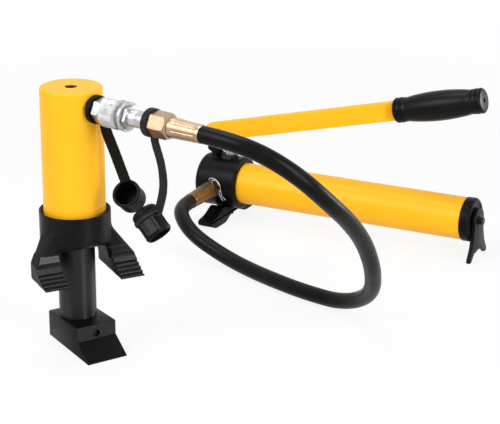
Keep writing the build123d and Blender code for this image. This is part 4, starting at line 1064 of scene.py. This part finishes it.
# %% Coupler socket
SOCKET_HEX = 26 * MM
SOCKET_HEX_LENGTH = 5.7 * MM
SOCKET_CONE = 0.8 * MM
SOCKET_HEAD = 5 * MM
TAIL_LENGTH = 12 * MM
SOCKET_ROUNDING = 0.3 * MM
LINE_PLACE = 16 * MM
LINE_WIDTH = 2 * MM
LINE_DEPTH = 0.5 * MM
socket_low, socket_high = local_box("coupler_socket", COUPLER_LINE)
socket_end = socket_high.z - TAIL_LENGTH
flange_start = sleeve_end + COUPLER_GAP
flange_end = flange_start + SOCKET_HEX_LENGTH
line_start = sleeve_end + LINE_PLACE
line_end = line_start + LINE_WIDTH
socket_profile = [
    (0, socket_low.z),
    (SPIGOT_R, socket_low.z),
    (SPIGOT_R, socket_low.z + SOCKET_HEAD),
    (SOCKET_R, socket_low.z + SOCKET_HEAD),
    (SOCKET_R, line_start),
    (SOCKET_R - LINE_DEPTH, line_start + LINE_DEPTH),
    (SOCKET_R - LINE_DEPTH, line_end - LINE_DEPTH),
    (SOCKET_R, line_end),
    (SOCKET_R, socket_end),
    (STEM_R, socket_end),
    (STEM_R, socket_high.z),
    (0, socket_high.z),
]
flange = hex_nut("socket_hex", SOCKET_HEX, flange_start, flange_end, SOCKET_CONE, SOCKET_CONE, HEX_TURN)
socket = joined(as_bmesh(flange), turned(socket_profile, SOCKET_ROUNDING))
dress(as_object("coupler_socket_body", socket, COUPLER_LINE), "body", "zinc_plate", "coupler_socket")

# %% [markdown]
# Each half of the coupler has a rubber dust cap: a cup, a strap and a ring moulded in one. A strap could be
# a curve with a flat bevel, but a curve twists as it likes. Here four-cornered rings stand along a smooth
# path through a few points, all with their broad side to the same direction, and each is bridged to the
# next. The three shapes overlap a little and are melted into one skin, as a mould makes them.

# %% Straps, cups and rings
RING_R = 17.25 * MM
RING_GAP = 0.25 * MM
CAP_R = 16.75 * MM
CAP_WALL = 3 * MM
CAP_FLOOR = 4 * MM
RIM_FOOT = -4 * MM
CAP_VOXEL = 0.6 * MM
STRAP_THICK = 3 * MM


def smooth_path(points, count=10):
    """Points along a curve that passes smoothly through the given ones, which are in millimetres."""
    places = [Vector(point) * MM for point in points]
    ends = range(len(places))
    slopes = [(places[min(k + 1, ends[-1])] - places[max(k - 1, 0)]) / 2 for k in ends]
    path = [places[0]]
    for k in ends[:-1]:
        handles = (places[k] + slopes[k] / 3, places[k + 1] - slopes[k + 1] / 3)
        path += interpolate_bezier(places[k], *handles, places[k + 1], count)[1:]
    return path


def ribbon(points, width, thick, facing=(0, 1, 0)):
    """A flat strap along a smooth path, with its broad side turned to facing."""
    bm = bmesh.new()
    path = smooth_path(points)
    face_way = Vector(facing).normalized()
    rings = []
    for k, place in enumerate(path):
        along = (path[min(k + 1, len(path) - 1)] - path[max(k - 1, 0)]).normalized()
        across = along.cross(face_way).normalized() * width / 2
        through = across.cross(along).normalized() * thick / 2
        corners = (across + through, through - across, -across - through, across - through)
        rings.append(polyline(bm, [place + corner for corner in corners], closed=True))
    for first, second in zip(rings, rings[1:]):
        bmesh.ops.bridge_loops(bm, edges=first + second)
    bmesh.ops.holes_fill(bm, edges=rings[0] + rings[-1], sides=4)
    bmesh.ops.recalc_face_normals(bm, faces=bm.faces)
    return bm


def cup(closed_end, low, rim, floor):
    """A cap's cup with its mouth at the origin, open towards +Z, and a wall from low up to its rim."""
    inside = CAP_R - CAP_WALL
    wall_points = wall(CAP_R, low, RIM_FOOT, count=40)
    return turned([*closed_end, *wall_points, *rim, (inside, 0), (inside, floor), (0, floor)], steps=192)


def cup_place(point, facing):
    """Where a cup goes: its mouth at a point, open towards facing."""
    return Matrix.Translation(point) @ Vector(facing).to_track_quat("Z", "Y").to_matrix().to_4x4()


def band(start, end, inside):
    """A cap's ring round the coupler."""
    shape = turned([(inside, start), (RING_R, start), (RING_R, end), (inside, end)], closed=True)
    shape.transform(turn_z_to_x)
    return shape


def dust_cap(name, body, node, ring, strap, cup_shape):
    """Melts a ring, a strap and a cup into one moulding."""
    cap = as_object(name, joined(ring, strap, cup_shape), COUPLER)
    cast_together(cap, CAP_VOXEL, rounds=3)
    return dress(cap, body, "cap_rubber", node, angle=SOFT_ANGLE)


print("straps, cups and rings ready")

# %% [markdown]
# The tool's cap hangs from the nipple's neck with its mouth towards us, so its wall and its floor both
# show. It is plain, with a bead round its mouth, and it is turned in one with its inside.

# %% The tool's dust cap
BEAD = 0.8 * MM
TOOL_CUP_DEPTH = 28 * MM
TOOL_MOUTH = Vector((83.5, 2, -96)) * MM
TOOL_FACING = (0.23, -0.76, 0.61)
TOOL_STRAP = [(49.5, 6, -15), (50.5, 6, -26), (64, 6, -52), (80, 6, -84)]
TOOL_STRAP_WIDTH = 16 * MM
TOOL_RING = (38.3 * MM, 44.7 * MM)
tool_ring = band(*TOOL_RING, NECK_R + RING_GAP)
tool_strap = ribbon(TOOL_STRAP, TOOL_STRAP_WIDTH, STRAP_THICK)
tool_foot = -TOOL_CUP_DEPTH
plain_end = [(0, tool_foot), (CAP_R - 5 * MM, tool_foot), (CAP_R - 3.4 * MM, tool_foot + 0.8 * MM)]
bead = [(CAP_R, -3.9 * MM), (CAP_R + BEAD, -3.4 * MM), (CAP_R + BEAD, -0.5 * MM), (CAP_R, 0)]
tool_cup = cup(plain_end, tool_foot + 4.5 * MM, bead, tool_foot + CAP_FLOOR)
tool_cup.transform(cup_place(TOOL_MOUTH, TOOL_FACING))
dust_cap("tool_cap", "tool_dust_cap", "dust_cap_tool", tool_ring, tool_strap, tool_cup)

# %% [markdown]
# The hose's cap has a rounded crown, a hoop, and six flattened panels between raised ribs, which give
# fingers a hold. Ribs could be added to a plain cup, but they would stand out too far, so the panels are
# pressed into its wall, and the ribs are what is left between them.

# %% The hose's dust cap
HOSE_CUP_DEPTH = 31 * MM
HOSE_FOOT = Vector((114.5, 2, -116)) * MM
HOSE_FACING = Vector((0.72, 0, -0.69)).normalized()
HOSE_STRAP = [(127.5, 5, -14), (129, 5, -26), (138, 5, -52), (140, 5, -80), (132.5, 4, -110)]
HOSE_STRAP_WIDTH = 11 * MM
HOSE_RING_WIDTH = 8 * MM
CROWN = 7 * MM
CROWN_EDGE = 6.5 * MM
HOOP_R = CAP_R + 1.5 * MM
HOOP_LIFT = 2 * MM
HOOP_WIDTH = 6 * MM
HOOP_EASING = 1 * MM
PANELS = 6
PANEL_HALF = pi / PANELS
PANEL_SINK = 0.6 * MM
PANEL_FLATNESS = 0.5
PANEL_LIFT = 1.2 * MM
PANEL_FADE = 9
RIB_HALF = radians(3.5)
RIB_SLOPE = radians(2.5)
hose_foot = -HOSE_CUP_DEPTH
hoop_low = hose_foot + HOOP_LIFT
hoop_high = hoop_low + HOOP_WIDTH
panel_low = hoop_high + PANEL_LIFT


def from_panel_middle(angle):
    """How far an angle lies from the middle of its panel."""
    return angle % (2 * PANEL_HALF) - PANEL_HALF


def panel(angle, share):
    """Flattened panels round the cup, each between two raised ribs and closed at both ends."""
    aside = from_panel_middle(angle)
    flat = PANEL_SINK + PANEL_FLATNESS * CAP_R * (1 - cos(PANEL_HALF) / cos(aside))
    across = min(1, max(0, (PANEL_HALF - RIB_HALF - abs(aside)) / RIB_SLOPE))
    along = min(1, max(0, PANEL_FADE * share - 0.3), max(0, PANEL_FADE * (1 - share) - 0.6))
    return flat * across * along


hose_ring_end = socket_end - COUPLER_GAP
hose_ring = band(hose_ring_end - HOSE_RING_WIDTH, hose_ring_end, SOCKET_R + RING_GAP)
hose_strap = ribbon(HOSE_STRAP, HOSE_STRAP_WIDTH, STRAP_THICK)
crown_foot = hose_foot - CROWN
crown_end = [
    (0, crown_foot),
    *arc((CAP_R - CROWN_EDGE, crown_foot + CROWN_EDGE), CROWN_EDGE, -90, 0),
    (CAP_R, hoop_low),
    (HOOP_R, hoop_low + HOOP_EASING),
    (HOOP_R, hoop_high - HOOP_EASING),
    (CAP_R, hoop_high),
]
easing = [(CAP_R, -3.5 * MM), (CAP_R - 1.6 * MM, -0.6 * MM), (CAP_R - 2.2 * MM, 0)]
hose_cup = cup(crown_end, panel_low, easing, hose_foot + CAP_FLOOR)
pressed(hose_cup, panel_low, RIM_FOOT, CAP_R - WALL_SKIN, panel)
hose_cup_place = cup_place(HOSE_FOOT - HOSE_FACING * hose_foot, HOSE_FACING)
hose_cup.transform(hose_cup_place)
hose_cap = dust_cap("hose_cap", "hose_dust_cap", "dust_cap_hose", hose_ring, hose_strap, hose_cup)

# %% [markdown]
# A pale grey is painted on the cap's ribs and hoop, across one panel and thinly on the strap: painted
# sheen where these faces catch the light. It is worked out face by face, from the face's place in the
# cup's own frame.

# %% Painted sheen on the hose's cap
STRAP_SHEEN = 0.08
HOOP_SHEEN = 0.16
UNDER_HOOP_SHEEN = 0.02
RIB_SHEEN = 0.26
PANEL_SHEEN = 0.24
SHEEN_PANEL = radians(150)
cup_outside = CAP_R - CAP_WALL + 0.5 * MM
hoop_outside = CAP_R + 0.9 * MM
strap_outside = HOOP_R + 1 * MM
strap_above = 1 * MM


def cap_painted_sheen(spot, facing):
    """Painted sheen on the ribs, on the hoop, across one panel, and thinly on the strap."""
    radius, angle = hypot(spot.x, spot.y), atan2(spot.y, spot.x)
    if radius > strap_outside or spot.z > strap_above:
        return STRAP_SHEEN
    if radius > hoop_outside:
        return HOOP_SHEEN if spot.z > (hoop_low + hoop_high) / 2 else UNDER_HOOP_SHEEN
    if not panel_low < spot.z < RIM_FOOT or radius <= cup_outside:
        return 0.0
    aside = abs(from_panel_middle(angle))
    if aside > PANEL_HALF - RIB_HALF:
        return RIB_SHEEN
    handled_and_sheen = abs(angle - SHEEN_PANEL) < PANEL_HALF
    return PANEL_SHEEN * cos(pi / 2 * aside / PANEL_HALF) if handled_and_sheen else 0.0


paint_light_on(hose_cap, sheen_painted_rubber, COUPLER @ hose_cup_place, cap_painted_sheen)

# %% [markdown]
# The hose ends in brass: a hexagon nut that is turned down to a cone, and a ferrule crimped on the hose at
# each end. A crimping press leaves a shallow line between each two of its jaws, so narrow lines run along
# the ferrule and stop short of its ends. They are pressed in like the knurl: a cosine to a high power is a
# row of narrow lines.

# %% Brass ends
NUT_FLATS = 28 * MM
FERRULE_TAPER = 1.5 * MM
FERRULE_EASING = 1 * MM
CRIMPS = 8
CRIMP_DEPTH = 0.7 * MM
CRIMP_NARROWNESS = 10
CRIMP_FLOOR = 0.4
CRIMP_FADE = 8
CRIMP_RINGS = 24
CRIMP_START = 3 * MM
CRIMP_STOP = 2 * MM
CRIMP_OUTSIDE = 10 * MM
FERRULE_LIP = 0.7 * MM


def crimp(angle, share):
    """Narrow lengthwise lines that fade out before the ferrule's ends."""
    groove = (0.5 + 0.5 * cos(CRIMPS * angle)) ** CRIMP_NARROWNESS
    return CRIMP_DEPTH * (groove + CRIMP_FLOOR) * min(1, CRIMP_FADE * share, CRIMP_FADE * (1 - share))


def ferrule(name, node, place):
    """A crimped sleeve over the hose's end, narrowing towards the hose."""
    low, high = local_box(node, place)
    start, end = low.z, high.z
    wide, narrow = high.y, high.y - FERRULE_TAPER
    crimp_low, crimp_high = start + CRIMP_START, end - CRIMP_STOP
    profile = [(0, start), (wide - FERRULE_EASING, start), (wide, start + FERRULE_EASING)]
    for ring in range(CRIMP_RINGS + 1):
        share = ring / CRIMP_RINGS
        profile.append((wide + (narrow - wide) * share, crimp_low + (crimp_high - crimp_low) * share))
    shape = turned([*profile, (narrow - FERRULE_LIP, end), (0, end)], steps=192)
    pressed(shape, crimp_low, crimp_high, CRIMP_OUTSIDE, crimp)
    return dress(as_object(name, shape, place), "body", "brass", node)


nut_low, nut_high = local_box("hose_nut", COUPLER_LINE)
brass_nut = hex_nut(
    "brass_nut", NUT_FLATS, nut_low.z, nut_high.z, low_cone=1.8 * MM, high_cone=5 * MM, turn=HEX_TURN,
    place=COUPLER_LINE,
)
dress(brass_nut, "body", "brass", "hose_nut")
tool_ferrule = ferrule("tool_ferrule", "hose_ferrule_tool", COUPLER_LINE)
pump_ferrule = ferrule("pump_ferrule", "hose_ferrule_pump", PORT_LINE)
pump_ferrule.data.materials[0] = darker_pump_brass

# %% [markdown]
# At the pump the hose screws on an adapter: a hexagon with a thread that goes into the head. The thread is
# hidden, so a plain length stands for it. Both brass pieces at this end get a darker, browner copy of the brass.

# %% Adapter in the pump's port
ADAPTER_FLATS = 22 * MM
ADAPTER_HEX_LENGTH = 12 * MM
ADAPTER_THREAD_R = 6.4 * MM
ADAPTER_TURN = radians(10)
adapter_low, adapter_high = local_box("pump_adapter", PORT_LINE)
adapter_foot, adapter_top = adapter_low.z, adapter_high.z
hex_foot = adapter_top - ADAPTER_HEX_LENGTH
adapter_hex = hex_nut(
    "port_adapter", ADAPTER_FLATS, hex_foot, adapter_top, low_cone=1.2 * MM, high_cone=1.6 * MM,
    turn=ADAPTER_TURN,
)
thread_profile = [
    (0, adapter_foot),
    (ADAPTER_THREAD_R, adapter_foot),
    (ADAPTER_THREAD_R, hex_foot),
    (0, hex_foot),
]
adapter = as_object("port_adapter", joined(as_bmesh(adapter_hex), turned(thread_profile)), PORT_LINE)
dress(adapter, "body", "brass", "pump_adapter")
adapter.data.materials[0] = darker_pump_brass

# %% [markdown]
# White tape was wound on the adapter's thread, and some of it was squeezed out when the adapter was screwed
# home. The squeezed ring is a thin disc with a ruffled edge, and three loose wisps hang from it. Cloth
# would be too much for such small shreds, so they are narrow ribbons, made like the straps.

# %% Thread tape
TAPE_BORE = 6.6 * MM
TAPE_R = 12.4 * MM
TAPE_INSIDE = 10 * MM
TAPE_TEAR = 1.1 * MM
WISP_WIDTH = 0.8 * MM
WISP_THICK = 0.3 * MM
WISP_FACING = (0.2, 0.1, 1)
WISPS = [
    [(6, 11.5, 39.3), (10.5, 6, 40), (12.2, -3, 40), (14, -11, 39.6), (19, -17, 37.5)],
    [(-8, 11, 39.4), (-4, 14, 39.4), (2, 13.5, 39.8), (6.5, 11, 40.2), (11, 3, 40.8)],
    [(9, -8, 39.8), (11.5, -14, 38.6), (14, -19, 36.4)],
]
tape_low, tape_high = local_box("thread_tape", PORT_LINE)


def ruffle(angle, share):
    """A torn edge: a few waves of different lengths."""
    return TAPE_TEAR * (1 + 0.5 * sin(3 * angle) + 0.3 * sin(7 * angle + 1) + 0.2 * sin(17 * angle))


tape_profile = [
    (TAPE_BORE, tape_low.z + 0.1 * MM),
    (TAPE_R, tape_low.z + 0.6 * MM),
    (TAPE_R, tape_low.z + 1.1 * MM),
    (TAPE_BORE, tape_high.z - 0.1 * MM),
]
squeezed = turned(tape_profile, steps=160, closed=True)
pressed(squeezed, tape_low.z, tape_high.z, TAPE_INSIDE, ruffle)
tape = joined(squeezed, *(ribbon(points, WISP_WIDTH, WISP_THICK, WISP_FACING) for points in WISPS))
dress(as_object("tape_wisps", tape, PORT_LINE), "body", "white_tape", "thread_tape")

# %% [markdown]
# The pump head is one iron casting: a drum with a rounded front, and two ears that carry the handle's pin.
# It is melted together like the claw collar, and the plunger's bore is drilled afterwards, as the foundry's
# customer would do, so that the hole keeps a sharp rim.

# %% Pump head
DRUM_FRONT_ROUND = 8 * MM
DRUM_BACK_ROUND = 3 * MM
EAR_INNER = 5.3 * MM
EAR_OUTER = 11.8 * MM
EAR_R = 9 * MM
EAR_FOOT = 20 * MM
EAR_WAIST = 44 * MM
EAR_SHOULDER = 48.5 * MM
EAR_WAIST_BACK = 6 * MM
EAR_WAIST_FRONT = -2 * MM
BORE_R = 7.4 * MM
BORE_FOOT = -23 * MM
SPOT_FACE_R = 15 * MM
SPOT_FACE = 36 * MM
ABOVE_HEAD = 40 * MM
head_low, head_high = local_box("pump_head", PUMP)
plunger_low, plunger_high = local_box("plunger", PUMP)
fulcrum = PUMP.inverted() @ Vector(joints["handle_swing"]["pos_m"])
head_r, head_front = head_high.y, head_low.x

front_round = arc((head_r - DRUM_FRONT_ROUND, head_front + DRUM_FRONT_ROUND), DRUM_FRONT_ROUND, -90, 0)
back_round = arc((head_r - DRUM_BACK_ROUND, -DRUM_BACK_ROUND), DRUM_BACK_ROUND, 0, 90, 5)
drum = turned([(0, head_front), *front_round, *back_round, (0, 0)])
drum.transform(turn_z_to_x)
sliced(drum, (0, 0, head_low.z), (0, 0, -1))
ear_outline = [
    (fulcrum.x + EAR_WAIST_BACK, EAR_FOOT),
    (fulcrum.x + EAR_WAIST_BACK, EAR_WAIST),
    (fulcrum.x + EAR_R, EAR_SHOULDER),
    *arc((fulcrum.x, fulcrum.z), EAR_R, 0, 180, 16),
    (fulcrum.x - EAR_R, EAR_SHOULDER),
    (fulcrum.x + EAR_WAIST_FRONT, EAR_WAIST),
    (fulcrum.x + EAR_WAIST_FRONT, EAR_FOOT),
]
ear = plate(ear_outline, EAR_INNER, EAR_OUTER)
ear.transform(turn_z_to_near)
head = as_object("pump_head_casting", joined(drum, mirrored(ear)))
cast_together(head, CASTING_VOXEL, rounds=4)
bore_profile = [
    (0, BORE_FOOT),
    (BORE_R, BORE_FOOT),
    (BORE_R, SPOT_FACE),
    (SPOT_FACE_R, SPOT_FACE),
    (SPOT_FACE_R, ABOVE_HEAD),
    (0, ABOVE_HEAD),
]
bore_place = Matrix.Translation(((plunger_low.x + plunger_high.x) / 2, 0, 0))
carve(head, as_object("plunger_bore", turned(bore_profile), bore_place))
head.data.transform(PUMP)
dress(head, "body", "black_paint", "pump_head", angle=SOFT_ANGLE)

# %% [markdown]
# The rear end cap is turned, with a broad bevel round its back. Both feet are cut from plate: an arch that
# stands on two toes. Each is an outline pushed to its thickness with eased edges, and only half of it is
# written down.

# %% End cap and feet
END_BEVEL = 3.4 * MM
END_RIM = 7 * MM
END_DISH = 1 * MM
END_ROUNDING = 0.5 * MM
FRONT_HALF = [
    (0, 18), (15, 18), (37, 26), (53, 18), (66, 14.5), (75, 15), (78, 8), (62, 0), (30, 0), (13, 9), (0, 9),
]
REAR_EYE_HEIGHT = 54
REAR_EYE_R = 18
REAR_LEG = [(19, 34), (24, 19), (32, 7), (34, 3), (32, 0), (26, 0), (16, 9), (0, 11)]
cap_high = local_box("rear_end_cap", PUMP_LINE)[1]
tube_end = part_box("reservoir_tube")[1][0] - PUMP.translation.x
end_profile = [
    (0, tube_end),
    (cap_high.y, tube_end),
    (cap_high.y, cap_high.z - END_BEVEL),
    (cap_high.y - END_BEVEL, cap_high.z),
    (cap_high.y - END_RIM, cap_high.z),
    (cap_high.y - END_RIM - END_DISH, cap_high.z - END_DISH),
    (0, cap_high.z - END_DISH),
]
end_cap = turned(end_profile, END_ROUNDING)
dress(as_object("end_cap", end_cap, PUMP_LINE), "body", "black_paint", "rear_end_cap")


def foot(name, node, half, edge, corner=0.0):
    """A foot from half its outline: (sideways, up) points in millimetres, from the middle out and back."""
    low, high = local_box(node, PUMP)
    outline = half + [(-y, z) for y, z in reversed(half) if y != 0]
    shape = plate([(y * MM, low.z + z * MM) for y, z in outline], low.x, high.x, corner, edge)
    return dress(as_object(name, shape, PUMP @ stand_across), "body", "black_paint", node)


front_arch = foot("front_arch", "front_foot", FRONT_HALF, edge=2.4 * MM, corner=5 * MM)
front_arch.data.materials[0] = foot_paint
rear_eye = arc((0, REAR_EYE_HEIGHT), REAR_EYE_R, 90, -12, 12)[1:]
rear_half = [(0, REAR_EYE_HEIGHT + REAR_EYE_R), *rear_eye, *REAR_LEG]
foot("rear_arch", "rear_foot", rear_half, edge=0.8 * MM)

# %% [markdown]
# The handle is a flat bar, painted yellow, whose rounded nose turns between the ears. A lug carries the
# plunger's pin. A box with a bevel would round all its corners alike. Only the nose is round, so the bar is
# an outline with two arcs.

# %% Handle bar
BAR_HEIGHT = 27 * MM
BAR_HALF = 5 * MM
NOSE_ROUND = 9 * MM
BAR_IN_GRIP = 4 * MM
LUG_R = 8 * MM
LUG_HALF = 4.9 * MM
bar_low, bar_high = local_box("handle_bar", HANDLE)
grip_low, grip_high = local_box("handle_grip", HANDLE)
bar_top = bar_high.z
bar_foot = bar_top - BAR_HEIGHT
bar_end = grip_low.x + BAR_IN_GRIP
nose = bar_low.x + NOSE_ROUND
bar_outline = [(bar_end, bar_foot), (bar_end, bar_top)]
bar_outline += arc((nose, bar_top - NOSE_ROUND), NOSE_ROUND, 90, 180)
bar_outline += arc((nose, bar_foot + NOSE_ROUND), NOSE_ROUND, 180, 270)
pin_middle = HANDLE.inverted() @ middle("plunger_pin")
lug_outline = arc((pin_middle.x, pin_middle.z), LUG_R, 0, 345, 23)
lug = plate(lug_outline, -LUG_HALF, LUG_HALF, edge=0.8 * MM)
bar = joined(plate(bar_outline, -BAR_HALF, BAR_HALF, edge=1.0 * MM), lug)
bar.transform(turn_z_to_near)
dress(as_object("handle_flat_bar", bar, HANDLE), "handle", "yellow_paint", "handle_bar")

# %% [markdown]
# A black plastic grip is pushed over the bar's end. It is round, so it is spun from a profile: two beads
# with grooves at each end, a swell between them that follows half a sine wave, and a hole in the end.

# %% Handle grip
GRIP_R = 17.8 * MM
GRIP_END_R = 12 * MM
GRIP_ROUND = 4 * MM
GRIP_GROOVE = 1.8 * MM
BEAD_STEPS = [(4.2, 0), (5.5, 1), (7, 1), (8.5, 0), (11, 0), (12.2, 1), (13.6, 1), (15, 0.2)]
SWELL_MARGIN = 19 * MM
SWELL_R = 16.9 * MM
SWELL = 4.1 * MM
SWELL_FULLNESS = 0.8
SWELL_RINGS = 24
END_HOLE_R = 3.0 * MM
END_HOLE_DEPTH = 9 * MM
grip_length = grip_high.x - grip_low.x


def beads(place, way):
    """Two beads and their grooves at one end of the grip, as steps along it and shares of the depth."""
    return [(GRIP_R - sink * GRIP_GROOVE, place + way * along * MM) for along, sink in BEAD_STEPS]


def grip_swell():
    """The swell for the palm, between the beads."""
    length = grip_length - 2 * SWELL_MARGIN
    rings = []
    for ring in range(SWELL_RINGS + 1):
        share = ring / SWELL_RINGS
        rings.append((SWELL_R + SWELL * sin(pi * share) ** SWELL_FULLNESS, SWELL_MARGIN + length * share))
    return rings


grip_profile = [
    (0, 0),
    (GRIP_END_R, 0),
    *arc((GRIP_R - GRIP_ROUND, GRIP_ROUND), GRIP_ROUND, -80, 0, 5),
    *beads(0, 1),
    *grip_swell(),
    *reversed(beads(grip_length, -1)),
    *arc((GRIP_R - GRIP_ROUND, grip_length - GRIP_ROUND), GRIP_ROUND, 0, 80, 5),
    (END_HOLE_R + 0.4 * MM, grip_length),
    (END_HOLE_R, grip_length - 0.5 * MM),
    (END_HOLE_R, grip_length - END_HOLE_DEPTH),
    (0, grip_length - END_HOLE_DEPTH),
]
grip_middle = (grip_low.z + grip_high.z) / 2
grip_place = HANDLE @ Matrix.Translation((grip_low.x, 0, grip_middle)) @ turn_z_to_x
dress(as_object("moulded_grip", turned(grip_profile), grip_place), "handle", "grip_plastic", "handle_grip")

# %% [markdown]
# The studio is a pale floor that fades into a white surround. Both look white to the camera, in reflections
# and through glass, while other rays meet a plain pale floor and a dim sky, so that colours show about as
# they are written. Near the part the floor lets a little of its own shading through, which keeps the
# shadow.

# %% Floor and surround
WHITE = (1, 1, 1)
SKY_STRENGTH = 0.38
FLOOR_HALF = 6
FADE_START = 0.72
FADE_END = 1.68
GLOW_NEAR = 0.87


def in_view(graph):
    """1 for a ray from the camera, a reflection or glass, and 0 for the rays that light the part."""
    kinds = ("Is Camera Ray", "Is Glossy Ray", "Is Transmission Ray")
    seen, reflected, through = [graph.node("ShaderNodeLightPath", output=kind) for kind in kinds]
    return seen + reflected + through


floor_mesh = bmesh.new()
bmesh.ops.create_grid(floor_mesh, x_segments=1, y_segments=1, size=FLOOR_HALF)
floor = as_object("studio_floor", floor_mesh)
pale = Finish("pale_floor", Base_Color=(0.80, 0.80, 0.80), Roughness=0.9)
distance = pale.node("ShaderNodeVectorMath", {"operation": "LENGTH"}, {0: pale.object_place}, "Value")
fade = pale.step(distance * (1 / FLOOR_HALF), FADE_START / FLOOR_HALF, FADE_END / FLOOR_HALF)
glow_share = in_view(pale) * (GLOW_NEAR + (1 - GLOW_NEAR) * fade)
shaded = Wire(pale, pale.shader.outputs["BSDF"])
glow = pale.node("ShaderNodeEmission", None, {"Color": WHITE, "Strength": 1.0})
blend = pale.node("ShaderNodeMixShader", None, {"Fac": glow_share, 1: shaded, 2: glow})
pale.plug(pale.tree.nodes["Material Output"].inputs["Surface"], blend)
floor.data.materials.append(pale.material)

world = bpy.data.worlds.new("white_surround")
world.use_nodes = True
bpy.context.scene.world = world
surround = Graph(world.node_tree)
sky = world.node_tree.nodes["Background"]
surround.plug(sky.inputs["Color"], WHITE)
surround.plug(sky.inputs["Strength"], SKY_STRENGTH)
backdrop = surround.node("ShaderNodeBackground", None, {"Color": WHITE, "Strength": 1.0})
sky_light = Wire(surround, sky.outputs["Background"])
either = surround.node("ShaderNodeMixShader", None, {"Fac": in_view(surround), 1: sky_light, 2: backdrop})
surround.plug(world.node_tree.nodes["World Output"].inputs["Surface"], either)
print("floor and surround ready")

# %% [markdown]
# Four soft lamps light the part: a broad key from the left, a narrow strip from the right that draws the
# bright lines on the round pieces, a low rim lamp behind them, and a top lamp. Their level shows each
# colour about as it is written.

# %% Lamps
def softbox(name, place, target, width, height, watts):
    """A rectangular lamp aimed at a point."""
    data = bpy.data.lights.new(name, "AREA")
    data.shape = "RECTANGLE"
    data.size = width
    data.size_y = height
    data.energy = watts
    lamp = bpy.data.objects.new(name, data)
    lamp.location = place
    lamp.rotation_euler = (Vector(target) - Vector(place)).to_track_quat("-Z", "Y").to_euler()
    bpy.context.scene.collection.objects.link(lamp)


softbox("key_lamp", place=(-1.0, -1.7, 1.5), target=(0, 0, 0.15), width=1.3, height=1.3, watts=32)
softbox("strip_lamp", place=(1.41, -0.69, 0.7), target=(-0.12, -0.25, 0.15), width=0.4, height=1.2, watts=18)
softbox("rim_lamp", place=(1.12, 1.12, 0.25), target=(0.1, 0, 0.2), width=0.6, height=0.4, watts=9)
softbox("top_lamp", place=(-0.4, 0.2, 1.9), target=(-0.05, -0.1, 0.1), width=0.9, height=0.9, watts=11)
print("studio lit")
